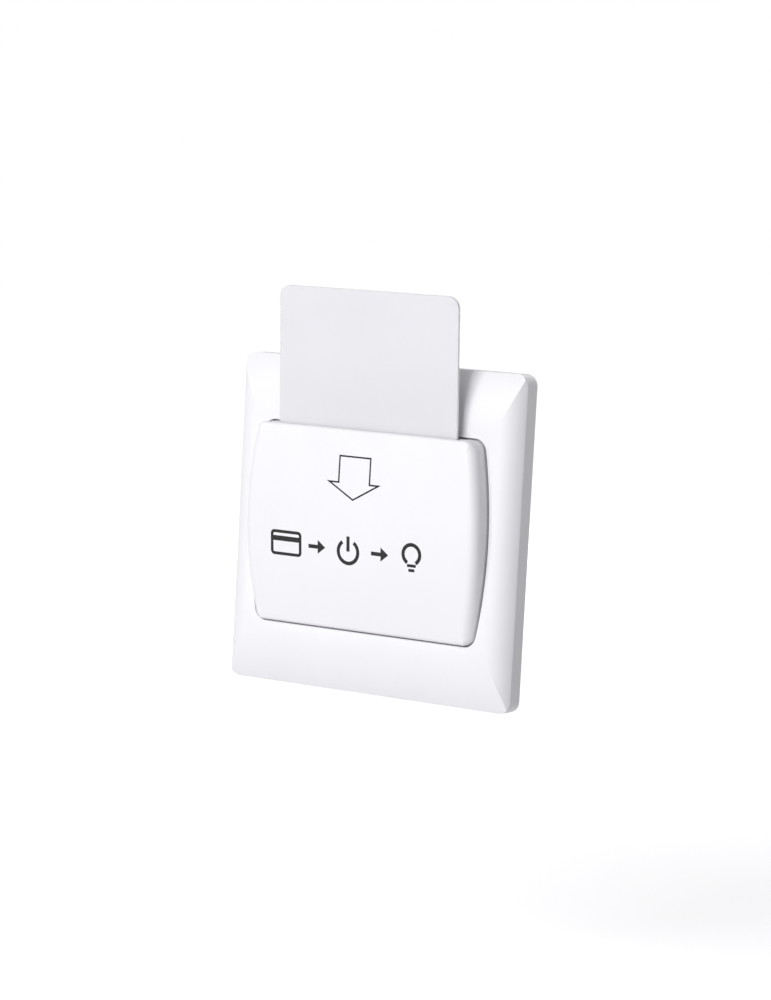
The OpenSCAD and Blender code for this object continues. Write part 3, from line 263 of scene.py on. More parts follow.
floor_tree.links.new(matt.outputs[0], both.inputs[0])
floor_tree.links.new(glow.outputs[0], both.inputs[1])
floor_tree.links.new(both.outputs[0], floor_tree.nodes["Material Output"].inputs["Surface"])
floor.data.materials.append(floor_finish)
print("floor glow:", GLOW_STRENGTHS[0], "near the plate and", GLOW_STRENGTHS[1], "far away")

# %% [markdown]
# ## Building blocks for finishes
#
# Every finish below is a Principled shader with three kinds of detail: a tone that drifts over the
# surface, a roughness that varies, and a fine relief. All of them read Object coordinates, which are
# metres in the CAD frame, so the size of a grain can be given as it is on the real thing.

# %% Shader and noise
MM = 0.001


def new_finish(name, metallic=0.0, coat=0.0):
    """A node material and its Principled shader, with the values that are the same all over."""
    finish = bpy.data.materials.new(name)
    finish.use_nodes = True
    shader = finish.node_tree.nodes["Principled BSDF"]
    shader.inputs["Metallic"].default_value = metallic
    shader.inputs["Coat Weight"].default_value = coat
    return finish, finish.node_tree, shader


def speckle(tree, grain, detail=2.0, stretch=(1, 1, 1)):
    """Noise whose patches are about one grain wide, longer along an axis with a larger stretch."""
    place = tree.nodes.new("ShaderNodeTexCoord")
    scaled = tree.nodes.new("ShaderNodeMapping")
    scaled.inputs["Scale"].default_value = [1 / (grain * s) for s in stretch]
    noise = tree.nodes.new("ShaderNodeTexNoise")
    noise.inputs["Scale"].default_value = 1
    noise.inputs["Detail"].default_value = detail
    tree.links.new(place.outputs["Object"], scaled.inputs["Vector"])
    tree.links.new(scaled.outputs[0], noise.inputs["Vector"])
    return noise.outputs["Fac"]


print("grains are given in millimetres, each of them", MM, "m")

# %% [markdown]
# Noise is only a number at each point. A ramp turns it into a tone, and a map of ranges turns it into a
# roughness. Noise seldom comes near 0 or 1, so a narrower range counts as its full swing.

# %% Tone and roughness
NOISE_SWING = (0.3, 0.7)


def ramp(tree, value, stops):
    """Turns a number into a colour by stops of (position, colour). A new ramp already has two."""
    node = tree.nodes.new("ShaderNodeValToRGB")
    elements = node.color_ramp.elements
    for extra in stops[2:]:
        elements.new(extra[0])
    for element, (position, colour) in zip(elements, sorted(stops)):
        element.position = position
        element.color = (*colour, 1)
    tree.links.new(value, node.inputs["Fac"])
    return node.outputs["Color"]


def drifting_tone(tree, shader, noise, colour, darkest):
    """Lets the colour drift with noise, down to a share of its brightness."""
    low = tuple(channel * darkest for channel in colour)
    toned = ramp(tree, noise, [(NOISE_SWING[0], low), (NOISE_SWING[1], colour)])
    tree.links.new(toned, shader.inputs["Base Color"])


def varied_gloss(tree, shader, noise, gloss):
    """Lets the roughness vary with noise between the two numbers of gloss."""
    tree.links.new(remap(tree, noise, NOISE_SWING, gloss), shader.inputs["Roughness"])


print("noise counts as full between", NOISE_SWING[0], "and", NOISE_SWING[1])

# %% [markdown]
# A bump node turns a number into relief. It changes how the surface takes the light and not its shape,
# which is enough for grain of a few hundredths of a millimetre. A finish is then laid on the CAD pieces,
# in place of the plain material that they came with. Most finishes share its name, so Blender adds .001 to
# theirs.

# %% Relief and dressing
def relief(tree, shader, value, depth):
    """Raises the surface by a number times a depth in metres."""
    node = tree.nodes.new("ShaderNodeBump")
    node.inputs["Distance"].default_value = depth
    tree.links.new(value, node.inputs["Height"])
    tree.links.new(node.outputs["Normal"], shader.inputs["Normal"])


def dress(finish, *names):
    """Gives CAD pieces a finish."""
    for name in names:
        mesh = parts[name].data
        mesh.materials.clear()
        mesh.materials.append(finish)


print("pieces to dress:", len(parts))

# %% [markdown]
# ## Moulded plastic
#
# A moulding copies its steel mould. The front parts come from a fine satin mould. Their tone drifts by two
# percent, as it does where the melt flowed. One function makes all plastics, so that they look like one
# family.

# %% Plastic of the front
FLOW_PATCH = 22 * MM
TOUCHED_PATCH = 5 * MM
FINE = (0.3 * MM, 0.004 * MM)
SATIN = (0.36, 0.46)
CARD_GLOSS = (0.3, 0.38)
FRONT_WHITE = (0.9, 0.895, 0.918)
CARD_GREY = (0.78, 0.775, 0.8)


def moulded_plastic(name, colour, gloss, texture, drift=0.02, coat=0.0):
    """Moulded plastic: gloss is (least, most) roughness, and texture is (grain, depth) of its surface."""
    finish, tree, shader = new_finish(name, coat=coat)
    drifting_tone(tree, shader, speckle(tree, FLOW_PATCH, detail=3), colour, 1 - drift)
    varied_gloss(tree, shader, speckle(tree, TOUCHED_PATCH, detail=4), gloss)
    grain, depth = texture
    relief(tree, shader, speckle(tree, grain), depth)
    return finish


frame_plastic = moulded_plastic("frame_plastic", FRONT_WHITE, SATIN, FINE)
cover_plastic = moulded_plastic("cover_plastic", FRONT_WHITE, SATIN, FINE)
card_plastic = moulded_plastic("card_plastic", CARD_GREY, CARD_GLOSS, FINE)
dress(frame_plastic, "outer_frame")
dress(cover_plastic, "card_cover")
dress(card_plastic, "key_card")
print("front:", frame_plastic.name, cover_plastic.name, card_plastic.name)

# %% [markdown]
# The parts behind the front come from spark-eroded moulds, which leave a coarser grain. Their colours tell
# them apart when the switch is opened: a greyish base, a black lever, a red plunger and grey terminals.
# Dark plastic shows its flow more, so its tone drifts further.

# %% Plastic behind the front
SPARK_ERODED = (0.45 * MM, 0.011 * MM)
MATT = (0.4, 0.55)
GUIDE_GLOSS = (0.42, 0.55)
LEVER_GLOSS = (0.35, 0.5)
PLUNGER_GLOSS = (0.3, 0.45)
GUIDE_GREY = (0.74, 0.74, 0.73)
BASE_GREY = (0.78, 0.78, 0.76)
LEVER_BLACK = (0.03, 0.03, 0.032)
PLUNGER_RED = (0.3, 0.015, 0.012)
TERMINAL_GREY = (0.28, 0.3, 0.31)

guide_plastic = moulded_plastic("guide_plastic", GUIDE_GREY, GUIDE_GLOSS, SPARK_ERODED)
base_plastic = moulded_plastic("base_plastic", BASE_GREY, MATT, SPARK_ERODED)
lever_plastic = moulded_plastic("lever_plastic", LEVER_BLACK, LEVER_GLOSS, SPARK_ERODED, drift=0.2)
plunger_plastic = moulded_plastic("plunger_plastic", PLUNGER_RED, PLUNGER_GLOSS, FINE, drift=0.1)
terminal_plastic = moulded_plastic("terminal_plastic", TERMINAL_GREY, MATT, SPARK_ERODED, drift=0.08)
dress(guide_plastic, "card_guide")
dress(base_plastic, "mounting_plate", "rear_housing")
dress(lever_plastic, "card_lever")
dress(plunger_plastic, "microswitch_plunger")
dress(terminal_plastic, "terminal_block")
print("materials in the file, with the plain ones:", len(bpy.data.materials))

# %% [markdown]
# ## Zones of a finish
#
# Some pieces are one solid in the CAD model and still show two materials, such as a moulded body and its
# tinned leads. Splitting the mesh would work. It is simpler to let the finish ask where a point lies, and
# to change its colour there.

# %% Zones
def beyond(tree, axis, compare, limit):
    """1 where a point's X, Y or Z, in metres, is LESS_THAN or GREATER_THAN a limit, and 0 elsewhere."""
    place = tree.nodes.new("ShaderNodeTexCoord")
    split = tree.nodes.new("ShaderNodeSeparateXYZ")
    test = tree.nodes.new("ShaderNodeMath")
    test.operation = compare
    test.inputs[1].default_value = limit
    tree.links.new(place.outputs["Object"], split.inputs[0])
    tree.links.new(split.outputs[axis], test.inputs[0])
    return test.outputs[0]


def zone_of(finish, operation, *tests):
    """A zone where any (MAXIMUM) or all (MINIMUM) of the tests (axis, compare, limit) hold."""
    tree = finish.node_tree
    return combine(tree, operation, [beyond(tree, *test) for test in tests])


def paint(finish, zone, colour):
    """Lays a colour over a finish where a zone is 1."""
    tree = finish.node_tree
    base = tree.nodes["Principled BSDF"].inputs["Base Color"]
    mix = tree.nodes.new("ShaderNodeMixRGB")
    mix.inputs["Color2"].default_value = (*colour, 1)
    tree.links.new(zone, mix.inputs["Fac"])
    tree.links.new(base.links[0].from_socket, mix.inputs["Color1"])
    tree.links.new(mix.outputs["Color"], base)


card_low, card_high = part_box("key_card")
print("the card's cut sides are at", [round(corner.x / MM, 2) for corner in (card_low, card_high)], "mm")

# %% [markdown]
# A key card is pressed from a white core between two tinted films, so its cut sides show the core. Their
# white is partly a painted highlight too: it lightens sides that the lamp leaves in shade. The core is
# also a little translucent: light that enters the lit face leaves again by the narrow side, and the side
# looks brighter than its own lighting would make it.

# %% Cut sides of the card
CORE_WHITE_AND_EDGE_HIGHLIGHT = (0.93, 0.93, 0.94)
CORE_SHARE = 0.8
CORE_REACH = 0.8 * MM
CUT_DEPTH = 0.05 * MM

left_cut = ("X", "LESS_THAN", card_low.x + CUT_DEPTH)
right_cut = ("X", "GREATER_THAN", card_high.x - CUT_DEPTH)
# The cut sides are painted whiter: partly the card's white core, partly a painted highlight on sides in
# shade.
paint(card_plastic, zone_of(card_plastic, "MAXIMUM", left_cut, right_cut), CORE_WHITE_AND_EDGE_HIGHLIGHT)
card_shader = card_plastic.node_tree.nodes["Principled BSDF"]
card_shader.inputs["Subsurface Weight"].default_value = CORE_SHARE
card_shader.inputs["Subsurface Radius"].default_value = (1, 1, 1)
card_shader.inputs["Subsurface Scale"].default_value = CORE_REACH
print("light goes about", round(CORE_REACH / MM, 1), "mm into the card")

# %% [markdown]
# ## Parts on the board
#
# Board parts have a moulded, dipped or sleeved body and tinned leads. Every lead is below the part's seat
# or beyond the ends of its body, so a plane or two are enough to tell metal from plastic.

# %% Moulded board parts
TIN = (0.72, 0.72, 0.7)
RELAY_BLUE = (0.01, 0.03, 0.16)
FILM_YELLOW = (0.52, 0.33, 0.02)
BLACK = (0.012, 0.012, 0.012)
CASE_GLOSS = (0.3, 0.42)


def bare_metal(finish, colour, *tests):
    """Shows bare metal wherever one of the tests (axis, compare, limit) holds."""
    zone = zone_of(finish, "MAXIMUM", *tests)
    paint(finish, zone, colour)
    tree = finish.node_tree
    tree.links.new(zone, tree.nodes["Principled BSDF"].inputs["Metallic"])


board_low, board_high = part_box("circuit_board")
under_seat = ("Y", "LESS_THAN", board_high.y)
relay_plastic = moulded_plastic("relay_plastic", RELAY_BLUE, CASE_GLOSS, FINE, drift=0.15)
film_plastic = moulded_plastic("film_plastic", FILM_YELLOW, CASE_GLOSS, FINE, drift=0.1)
bridge_black = moulded_plastic("bridge_black", BLACK, MATT, SPARK_ERODED, drift=0.3)
for finish in (relay_plastic, film_plastic, bridge_black):
    bare_metal(finish, TIN, under_seat)
dress(relay_plastic, "power_relay")
dress(film_plastic, "film_capacitor")
dress(bridge_black, "bridge_rectifier")
print("the board's faces are at", round(board_low.y / MM, 2), "and", round(board_high.y / MM, 2), "mm")

# %% [markdown]
# The microswitch sits on the board's front, so its leads lie the other way. The chip's legs stand out on
# both sides of its body, above and below.

# %% Microswitch and chip
CHIP_LEG = 1 * MM
CHIP_GLOSS = (0.45, 0.6)

switch_black = moulded_plastic("switch_black", BLACK, MATT, SPARK_ERODED, drift=0.3)
bare_metal(switch_black, TIN, ("Y", "GREATER_THAN", board_low.y))
dress(switch_black, "microswitch_case")

chip_low, chip_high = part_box("controller_chip")
upper_legs = ("Z", "GREATER_THAN", chip_high.z - CHIP_LEG)
lower_legs = ("Z", "LESS_THAN", chip_low.z + CHIP_LEG)
chip_black = moulded_plastic("chip_black", BLACK, CHIP_GLOSS, SPARK_ERODED, drift=0.3)
bare_metal(chip_black, TIN, upper_legs, lower_legs)
dress(chip_black, "controller_chip")
print("chip with its legs:", round((chip_high.z - chip_low.z) / MM, 1), "mm high")

# %% [markdown]
# The varistor and the fuse resistor are dipped in thick lacquer, which leaves a lumpy gloss. The varistor
# is a disc, so its body is as deep as it is high, and what lies in front of that is lead.

# %% Varistor
LUMPY = (1.5 * MM, 0.06 * MM)
VARISTOR_BLUE = (0.02, 0.1, 0.26)
VARISTOR_GLOSS = (0.25, 0.45)

disc_low, disc_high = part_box("varistor")
disc_size = disc_high.z - disc_low.z
varistor_coat = moulded_plastic(
    "varistor_coat", VARISTOR_BLUE, VARISTOR_GLOSS, LUMPY, drift=0.2, coat=0.4
)
bare_metal(varistor_coat, TIN, ("Y", "LESS_THAN", disc_high.y - disc_size))
dress(varistor_coat, "varistor")
print("varistor disc:", round(disc_size / MM, 1), "mm")

# %% [markdown]
# The resistor carries four bands of colour. Each band is a zone between two planes across its length. The
# leads leave by its ends and turn down through the board.

# %% Fuse resistor
RESISTOR_BEIGE = (0.36, 0.25, 0.12)
RESISTOR_GLOSS = (0.3, 0.5)
FUSE_BODY = 8 * MM
BAND_W = 0.7 * MM
BAND_STEP = 1.5 * MM
BAND_BROWN = (0.09, 0.03, 0.01)
BAND_BLACK = (0.008, 0.008, 0.008)
BAND_GOLD = (0.45, 0.3, 0.06)
BAND_COLOURS = (BAND_BROWN, BAND_BLACK, BAND_BLACK, BAND_GOLD)

fuse_low, fuse_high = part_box("fuse_resistor")
fuse_x = (fuse_low.x + fuse_high.x) / 2
first_band_x = fuse_x - (len(BAND_COLOURS) - 1) / 2 * BAND_STEP
resistor_coat = moulded_plastic(
    "resistor_coat", RESISTOR_BEIGE, RESISTOR_GLOSS, LUMPY, drift=0.2, coat=0.3
)
for number, band_colour in enumerate(BAND_COLOURS):
    band_x = first_band_x + number * BAND_STEP
    past_start = ("X", "GREATER_THAN", band_x - BAND_W / 2)
    before_end = ("X", "LESS_THAN", band_x + BAND_W / 2)
    paint(resistor_coat, zone_of(resistor_coat, "MINIMUM", past_start, before_end), band_colour)
left_lead = ("X", "LESS_THAN", fuse_x - FUSE_BODY / 2)
right_lead = ("X", "GREATER_THAN", fuse_x + FUSE_BODY / 2)
bare_metal(resistor_coat, TIN, under_seat, left_lead, right_lead)
dress(resistor_coat, "fuse_resistor")
print("resistor bands:", len(BAND_COLOURS))

# %% [markdown]
# The can of the last capacitor has a shrunk sleeve with a pale stripe on the side of its negative lead.
# The sleeve stops at the rim, so the can's bare aluminium end shows.

# %% Sleeved capacitor
SLEEVE_BLACK = (0.006, 0.01, 0.018)
SLEEVE_GLOSS = (0.2, 0.35)
SLEEVE_EDGE = 0.05 * MM
STRIPE_GREY = (0.4, 0.42, 0.44)
STRIPE_SHARE = 1 / 8
ALUMINIUM = (0.78, 0.78, 0.79)

can_low, can_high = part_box("electrolytic_capacitor")
can_size = can_high.x - can_low.x
stripe = ("X", "GREATER_THAN", can_high.x - can_size * STRIPE_SHARE)
can_end = ("Y", "GREATER_THAN", can_high.y - SLEEVE_EDGE)
can_sleeve = moulded_plastic("can_sleeve", SLEEVE_BLACK, SLEEVE_GLOSS, LUMPY, drift=0.3, coat=0.5)
paint(can_sleeve, zone_of(can_sleeve, "MAXIMUM", stripe), STRIPE_GREY)
bare_metal(can_sleeve, ALUMINIUM, under_seat, can_end)
dress(can_sleeve, "electrolytic_capacitor")
print("capacitor can:", round(can_size / MM, 1), "mm across")

# %% [markdown]
# ## Metal
#
# The screws are zinc plated, the spring is drawn wire and the clamps are plated brass. Plating is bright
# but never even: it clouds in patches, and fine scratches run along the way the piece was worked.
# Stretched noise gives those scratches, and coarser noise gives the clouds.

# %% Metal finishes
CLOUD_PATCH = 3 * MM
CLOUD_DARKEST = 0.82
SCRATCH_W = 0.12 * MM
SCRATCH_DEPTH = 0.004 * MM
ZINC = (0.66, 0.66, 0.65)
WIRE_GREY = (0.5, 0.5, 0.51)
BRASS = (0.62, 0.44, 0.16)


def plated_metal(name, colour, gloss, scratch_along):
    """Plated metal with clouds in its tone and fine scratches, longer along X, Y or Z by a factor."""
    finish, tree, shader = new_finish(name, metallic=1.0)
    drifting_tone(tree, shader, speckle(tree, CLOUD_PATCH, detail=4), colour, CLOUD_DARKEST)
    scratches = speckle(tree, SCRATCH_W, stretch=scratch_along)
    varied_gloss(tree, shader, scratches, gloss)
    relief(tree, shader, scratches, SCRATCH_DEPTH)
    return finish


screw_steel = plated_metal("screw_steel", ZINC, gloss=(0.22, 0.4), scratch_along=(1, 8, 1))
spring_steel = plated_metal("spring_steel", WIRE_GREY, gloss=(0.25, 0.4), scratch_along=(1, 3, 3))
clamp_brass = plated_metal("clamp_brass", BRASS, gloss=(0.25, 0.42), scratch_along=(1, 6, 1))
dress(screw_steel, "guide_screws", "wall_screws", "housing_screws", "board_screws")
dress(screw_steel, "terminal_screws", "lever_pin")
dress(spring_steel, "lever_spring")
dress(clamp_brass, "terminal_clamps")
print("metals:", screw_steel.name, spring_steel.name, clamp_brass.name)

# %% [markdown]
# ## The circuit board
#
# A board is green lacquer over copper. Where copper runs underneath, the lacquer looks lighter and stands
# a little higher. Cells measured by the sum of their steps along X and Z have edges that run straight and
# at 45 degrees, which is just how copper tracks are drawn.

# %% Board finish
TRACK_CELL = 4.5 * MM
TRACK_HEIGHT = 0.15 * MM
LACQUER_GREEN = (0.006, 0.075, 0.03)
TRACK_GREEN = (0.016, 0.15, 0.06)
TRACK_EDGES = [(0.45, LACQUER_GREEN), (0.48, TRACK_GREEN), (0.62, TRACK_GREEN), (0.65, LACQUER_GREEN)]
LACQUER_PATCH = 0.8 * MM
LACQUER_GLOSS = (0.25, 0.4)

board_laminate, board_tree, board_shader = new_finish("board_laminate", coat=0.3)
board_place = board_tree.nodes.new("ShaderNodeTexCoord")
tracks = board_tree.nodes.new("ShaderNodeTexVoronoi")
tracks.distance = "MANHATTAN"
tracks.feature = "F1"
tracks.inputs["Scale"].default_value = 1 / TRACK_CELL
board_tree.links.new(board_place.outputs["Object"], tracks.inputs["Vector"])
track_colour = ramp(board_tree, tracks.outputs["Distance"], TRACK_EDGES)
board_tree.links.new(track_colour, board_shader.inputs["Base Color"])
varied_gloss(board_tree, board_shader, speckle(board_tree, LACQUER_PATCH, detail=3), LACQUER_GLOSS)
relief(board_tree, board_shader, track_colour, TRACK_HEIGHT)
dress(board_laminate, "circuit_board")
print("materials in the file, with the plain ones:", len(bpy.data.materials))

# %% [markdown]
# ## Signs printed on the cover
#
# An arrow shows which way the card goes in, and a row of signs below it says what the card does: it
# switches the power and the light. Such signs are pad printed. The ink dries nearly matt, and thin spots
# let the white show through as grey.

# %% Ink
INK_PATCH = 0.5 * MM
INK_DEPTH = 0.004 * MM
INK_THIN = (0.024, 0.024, 0.025)
INK_FULL = (0.012, 0.012, 0.013)
INK_TONES = [(0.35, INK_THIN), (0.7, INK_FULL)]
INK_GLOSS = (0.45, 0.65)
INK_SHINE = 0.25

sign_ink, ink_tree, ink_shader = new_finish("sign_ink")
ink_cover = speckle(ink_tree, INK_PATCH, detail=3)
ink_tree.links.new(ramp(ink_tree, ink_cover, INK_TONES), ink_shader.inputs["Base Color"])
varied_gloss(ink_tree, ink_shader, ink_cover, INK_GLOSS)
ink_shader.inputs["Specular IOR Level"].default_value = INK_SHINE
relief(ink_tree, ink_shader, ink_cover, INK_DEPTH)
print("ink:", sign_ink.name)

# %% [markdown]
# Pad-printed ink follows the crown of the cover, so the script has to know where the cover's front is. A
# BVH tree finds where a line meets a mesh. Here the line runs along Y, from far in front of the plate.

# %% Front of the cover
from mathutils.bvhtree import BVHTree

FAR_IN_FRONT_Y = -1
INTO_THE_WALL = Vector((0, 1, 0))

cover_front = BVHTree.FromObject(parts["card_cover"], bpy.context.evaluated_depsgraph_get())


def front_y(x, z):
    """Where a line along Y meets the cover's front."""
    return cover_front.ray_cast(Vector((x, FAR_IN_FRONT_Y, z)), INTO_THE_WALL)[0].y


print("the cover's middle is at y =", round(front_y(0, 0) / MM, 2), "mm")

# %% [markdown]
# Each sign starts as a flat shape in X and Z. It is cut across every half millimetre, so that it can bend,
# and each point is then dropped on the cover along Y. The film of ink gets a little thickness, half of it
# sunk in the cover, so that it is a closed piece without a gap behind it.

# %% Dropping ink on the cover
INK_FILM = 0.03 * MM
INK_STEP = 0.5 * MM


def everything(shape):
    """All points, edges and faces of a bmesh, as the operators want them."""
    return shape.verts[:] + shape.edges[:] + shape.faces[:]


def print_on_cover(name, shape):
    """Turns a flat sign, drawn in X and Z, into a film of ink on the cover's front."""
    heights = [v.co.z for v in shape.verts]
    cut_z = min(heights) + INK_STEP
    while cut_z < max(heights):
        cut = (0, 0, cut_z)
        bmesh.ops.bisect_plane(shape, geom=everything(shape), plane_co=cut, plane_no=(0, 0, 1))
        cut_z += INK_STEP
    for v in shape.verts:
        v.co.y = front_y(v.co.x, v.co.z) + INK_FILM
    raised = bmesh.ops.extrude_face_region(shape, geom=shape.faces[:])["geom"]
    outer = [g for g in raised if isinstance(g, bmesh.types.BMVert)]
    bmesh.ops.translate(shape, vec=(0, -2 * INK_FILM, 0), verts=outer)
    bmesh.ops.recalc_face_normals(shape, faces=shape.faces[:])
    sign = mesh_object(name, shape)
    sign.data.materials.append(sign_ink)
    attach(sign, "base")
    return sign


print("the ink stands out by", round(INK_FILM / MM, 2), "mm")

# %% [markdown]
# Signs are drawn in millimetres, and the helpers turn them into metres. The arrow is one face with seven
# corners. Insetting it makes a ring of even width, and the middle is then deleted, which is quicker and
# cleaner than drawing fourteen corners.

# %% Arrow
ARROW_STROKE = 0.42
ARROW_TOP_Z = 19.1
ARROW_NECK_Z = 12.3
ARROW_TIP = (-1.6, 7.6)
ARROW_SHAFT_X = (-6.3, 3.5)
ARROW_HEAD_X = (-9.8, 6.8)


def polygon_face(shape, corners):
    """One flat face through corners given as (x, z)."""
    points = [shape.verts.new((x * MM, 0, z * MM)) for x, z in corners]
    face = shape.faces.new(points)
    face.normal_update()
    return face


def hollow_out(shape, face, stroke):
    """Leaves only a ring of even width along a face's edge."""
    bmesh.ops.inset_region(
        shape, faces=[face], thickness=stroke * MM, use_boundary=True, use_even_offset=True
    )
    bmesh.ops.delete(shape, geom=[face], context="FACES")


arrow_corners = [
    (ARROW_SHAFT_X[0], ARROW_TOP_Z),
    (ARROW_SHAFT_X[1], ARROW_TOP_Z),
    (ARROW_SHAFT_X[1], ARROW_NECK_Z),
    (ARROW_HEAD_X[1], ARROW_NECK_Z),
    ARROW_TIP,
    (ARROW_HEAD_X[0], ARROW_NECK_Z),
    (ARROW_SHAFT_X[0], ARROW_NECK_Z),
]
arrow_shape = bmesh.new()
hollow_out(arrow_shape, polygon_face(arrow_shape, arrow_corners), ARROW_STROKE)
arrow = print_on_cover("printed_arrow", arrow_shape)
print("arrow:", len(arrow.data.polygons), "faces")

# %% [markdown]
# The row of signs reads from left to right: a card, the sign for power, a lamp. Small arrows lead from one
# to the next. The signs are made of bars and of parts of rings. A bar is a square grid, scaled and stood
# upright, and a ring comes from spinning a short edge round the middle.

# %% Bars and rings
SIGN_STROKE = 0.95
SIGN_ROW_Z = -5.3
RING_STEPS = 28
SQUARE_HALF_SIDE = 0.5
QUARTER_TURN = Matrix.Rotation(math.radians(90), 3, "X")


def bar(shape, centre, width, height):
    """A flat rectangle about a centre given as (x, z), scaled from a square with sides of 1."""
    made = bmesh.ops.create_grid(shape, x_segments=1, y_segments=1, size=SQUARE_HALF_SIDE)["verts"]
    bmesh.ops.scale(shape, vec=(width * MM, height * MM, 1), verts=made)
    bmesh.ops.rotate(shape, matrix=QUARTER_TURN, verts=made)
    bmesh.ops.translate(shape, vec=(centre[0] * MM, 0, centre[1] * MM), verts=made)
    return made[0].link_faces[0]


def ring_arc(shape, centre, radius, start, sweep):
    """Part of a flat ring, from an angle in degrees measured from +X towards +Z."""
    middle = Vector((centre[0] * MM, 0, centre[1] * MM))
    first = math.radians(start)
    turn = math.radians(sweep)
    outward = Vector((math.cos(first), 0, math.sin(first)))
    near = shape.verts.new(middle + outward * (radius - SIGN_STROKE / 2) * MM)
    far = shape.verts.new(middle + outward * (radius + SIGN_STROKE / 2) * MM)
    spoke = [near, far, shape.edges.new((near, far))]
    bmesh.ops.spin(shape, geom=spoke, cent=middle, axis=(0, -1, 0), angle=turn, steps=RING_STEPS)


row_shape = bmesh.new()
print("the row of signs is at z =", SIGN_ROW_Z, "mm")

# %% [markdown]
# The card is a bar whose corner points are bevelled, which rounds them. It is then the largest face, and
# is hollowed out as the arrow was. A second bar is its magnetic stripe.

# %% Card sign
CARD_SIGN_X = -22
CARD_SIGN_SIZE = (9.6, 6.6)
CARD_SIGN_STROKE = 0.8
CARD_SIGN_CORNER = 1.1
CARD_STRIPE_SIZE = (8.2, 1.3)
CARD_STRIPE_RISE = 1.1

card_outline = bar(row_shape, (CARD_SIGN_X, SIGN_ROW_Z), *CARD_SIGN_SIZE)
bmesh.ops.bevel(
    row_shape, geom=card_outline.verts[:], offset=CARD_SIGN_CORNER * MM, affect="VERTICES",
    segments=5, profile=0.5, material=-1,
)
card_outline = max(row_shape.faces, key=lambda f: f.calc_area())
hollow_out(row_shape, card_outline, CARD_SIGN_STROKE)
bar(row_shape, (CARD_SIGN_X, SIGN_ROW_Z + CARD_STRIPE_RISE), *CARD_STRIPE_SIZE)
print("card sign:", len(row_shape.faces), "faces")

# %% [markdown]
# The sign for power is a ring that is open at the top, with a bar in the gap. The pair of numbers for its
# arc is where it starts and how far it goes, in degrees.

# %% Power sign
POWER_SIGN_X = -2.75
POWER_RING_R = 3.0
POWER_RING_DROP = 0.35
POWER_RING_ARC = (125, 290)
POWER_BAR_RISE = 1.7
POWER_BAR_H = 3.9

ring_arc(row_shape, (POWER_SIGN_X, SIGN_ROW_Z - POWER_RING_DROP), POWER_RING_R, *POWER_RING_ARC)
bar(row_shape, (POWER_SIGN_X, SIGN_ROW_Z + POWER_BAR_RISE), SIGN_STROKE, POWER_BAR_H)
print("with the power sign:", len(row_shape.faces), "faces")

# %% [markdown]
# The lamp is a ring that is open at the bottom, for the bulb, over two short bars for its cap.

# %% Lamp sign
LAMP_SIGN_X = 16.5
LAMP_RING_R = 2.5
LAMP_RING_RISE = 0.95
LAMP_RING_ARC = (-60, 300)
CAP_BAR_H = 0.75
CAP_BAR_DROPS = (1.95, 3.15)
CAP_BAR_WIDTHS = (2.6, 1.8)

ring_arc(row_shape, (LAMP_SIGN_X, SIGN_ROW_Z + LAMP_RING_RISE), LAMP_RING_R, *LAMP_RING_ARC)
for cap_drop, cap_width in zip(CAP_BAR_DROPS, CAP_BAR_WIDTHS):
    bar(row_shape, (LAMP_SIGN_X, SIGN_ROW_Z - cap_drop), cap_width, CAP_BAR_H)
print("with the lamp sign:", len(row_shape.faces), "faces")

# %% [markdown]
# The two small arrows are filled, so each stays one face with seven corners. The row is then printed in
# one go, as one pad would print it.

# %% Small arrows, and the print
POINTER_MIDDLES_X = (-12.4, 6.9)
POINTER_REACH = 2.6
POINTER_NECK = 0.3
POINTER_SHAFT = 0.5
POINTER_HEAD = 1.8

for middle_x in POINTER_MIDDLES_X:
    tail_x = middle_x - POINTER_REACH
    neck_x = middle_x + POINTER_NECK
    pointer_corners = [
        (tail_x, SIGN_ROW_Z + POINTER_SHAFT),
        (neck_x, SIGN_ROW_Z + POINTER_SHAFT),
        (neck_x, SIGN_ROW_Z + POINTER_HEAD),
        (middle_x + POINTER_REACH, SIGN_ROW_Z),
        (neck_x, SIGN_ROW_Z - POINTER_HEAD),
        (neck_x, SIGN_ROW_Z - POINTER_SHAFT),
        (tail_x, SIGN_ROW_Z - POINTER_SHAFT),
    ]
    polygon_face(row_shape, pointer_corners)
sign_row = print_on_cover("printed_signs", row_shape)
print("signs:", len(sign_row.data.polygons), "faces")

# %% [markdown]
# ## Threads on the wall screws
#
# The CAD screws have plain shanks, because a thread would only slow the solid model down. From behind
# they are the first thing one sees, so they get a real thread here. The head and neck are cut from a
# merged copy of the CAD screws, and the cut is closed.

# %% Heads of the wall screws
COLLAR_Y = 0.5 * MM
HEAD_R = 3.9 * MM
MERGE_GAP = 0.001 * MM

screw_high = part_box("wall_screws")[1]
screw_x = screw_high.x - HEAD_R
collar = (0, COLLAR_Y, 0)


def close_holes(shape):
    """Fills every opening that has one loop of edges as its rim."""
    bmesh.ops.holes_fill(shape, edges=[e for e in shape.edges if e.is_boundary], sides=0)


screw_shape = bmesh.new()
screw_shape.from_mesh(parts["wall_screws"].data)
bmesh.ops.remove_doubles(screw_shape, verts=screw_shape.verts, dist=MERGE_GAP)
bmesh.ops.bisect_plane(
    screw_shape, geom=everything(screw_shape), plane_co=collar, plane_no=(0, 1, 0), clear_outer=True
)
close_holes(screw_shape)
print("screw heads:", len(screw_shape.faces), "faces,", round(screw_x / MM, 2), "mm from the middle")

# %% [markdown]
# The thread is a two-sided tooth, one pitch long, spun round the axis while it moves along by one pitch a
# turn, so that each turn joins the one before. The tooth's outline is given as shares of the pitch and the
# radius at each.

# %% Thread
THREAD_PITCH = 0.7 * MM
CREST_R = 2.0 * MM
ROOT_R = 1.58 * MM
STEPS_PER_TURN = 24
TOOTH = ((0, ROOT_R), (0.4, CREST_R), (0.5, CREST_R), (0.9, ROOT_R), (1, ROOT_R))

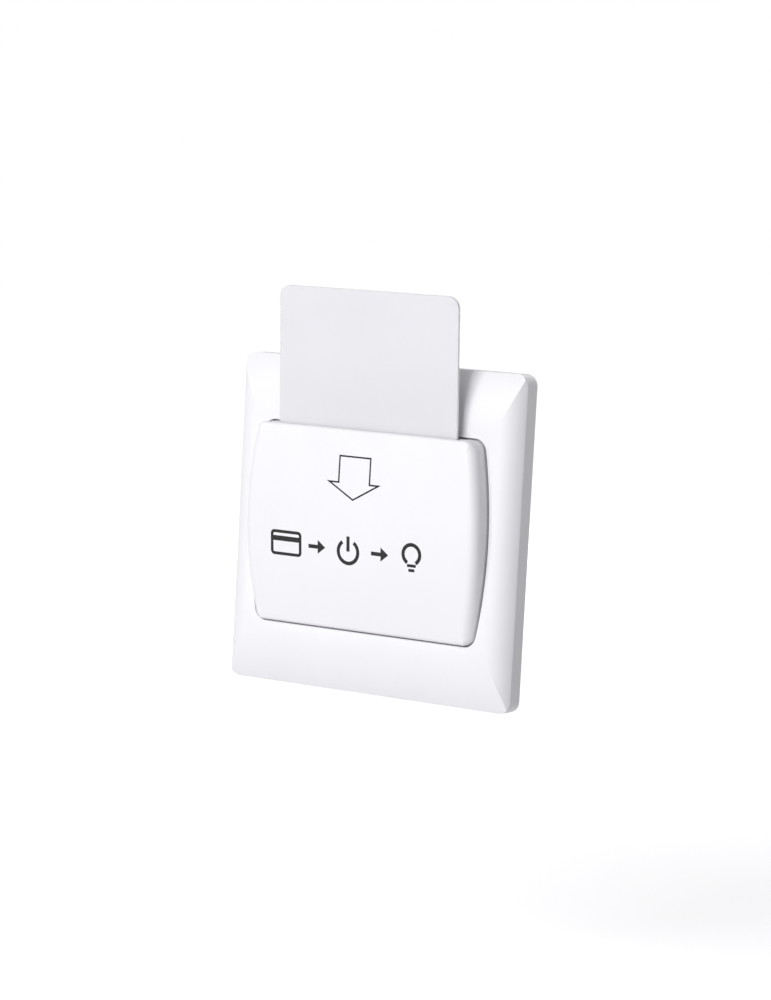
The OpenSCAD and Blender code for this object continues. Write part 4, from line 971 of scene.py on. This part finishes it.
thread_start = COLLAR_Y / 2
thread_turns = int((screw_high.y - 2 * COLLAR_Y) / THREAD_PITCH) - 1
thread_end = thread_start + (thread_turns + 1) * THREAD_PITCH


def add_thread(shape, x):
    """A thread along Y round the axis at x, closed at both ends."""
    tooth = [(thread_start + share * THREAD_PITCH, radius) for share, radius in TOOTH]
    points = [shape.verts.new((x + radius, y, 0)) for y, radius in tooth]
    edges = [shape.edges.new(pair) for pair in zip(points, points[1:])]
    before = set(shape.verts) - set(points)
    bmesh.ops.spin(
        shape, geom=points + edges, cent=(x, 0, 0), axis=(0, 1, 0), angle=thread_turns * math.tau,
        steps=thread_turns * STEPS_PER_TURN, dvec=(0, THREAD_PITCH / STEPS_PER_TURN, 0),
    )
    made = [v for v in shape.verts if v not in before]
    bmesh.ops.remove_doubles(shape, verts=made, dist=MERGE_GAP)
    close_holes(shape)


print("thread:", thread_turns, "turns, up to", round(thread_end / MM, 2), "mm behind the wall's face")

# %% [markdown]
# Each screw ends in a short cone that leads it into the wall box. A cone is made along Z, so a quarter
# turn lays it along Y. It reaches one pitch into the thread and ends where the CAD screw does.

# %% Threaded wall screws
TIP_R = 1.1 * MM

tip_length = screw_high.y - thread_end + THREAD_PITCH
for side in (-1, 1):
    add_thread(screw_shape, side * screw_x)
    tip = bmesh.ops.create_cone(
        screw_shape, cap_ends=True, segments=STEPS_PER_TURN, radius1=TIP_R, radius2=ROOT_R,
        depth=tip_length,
    )["verts"]
    tip_middle = (side * screw_x, screw_high.y - tip_length / 2, 0)
    bmesh.ops.rotate(screw_shape, matrix=QUARTER_TURN, verts=tip)
    bmesh.ops.translate(screw_shape, vec=tip_middle, verts=tip)
bmesh.ops.recalc_face_normals(screw_shape, faces=screw_shape.faces[:])
threaded_screws = mesh_object("threaded_wall_screws", screw_shape)
threaded_screws.data.materials.append(screw_steel)
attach(threaded_screws, "base")
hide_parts("wall_screws")
print("threaded screws:", len(threaded_screws.data.polygons), "faces")

# %% [markdown]
# ## Sizes
#
# The ink stands out by less than a hair's width, away from the cover's foremost point, and the threads are
# no wider than the plain shanks. So the dressed model fills the same box as the CAD model.

print("CAD box", [list(c) for c in cad_box])
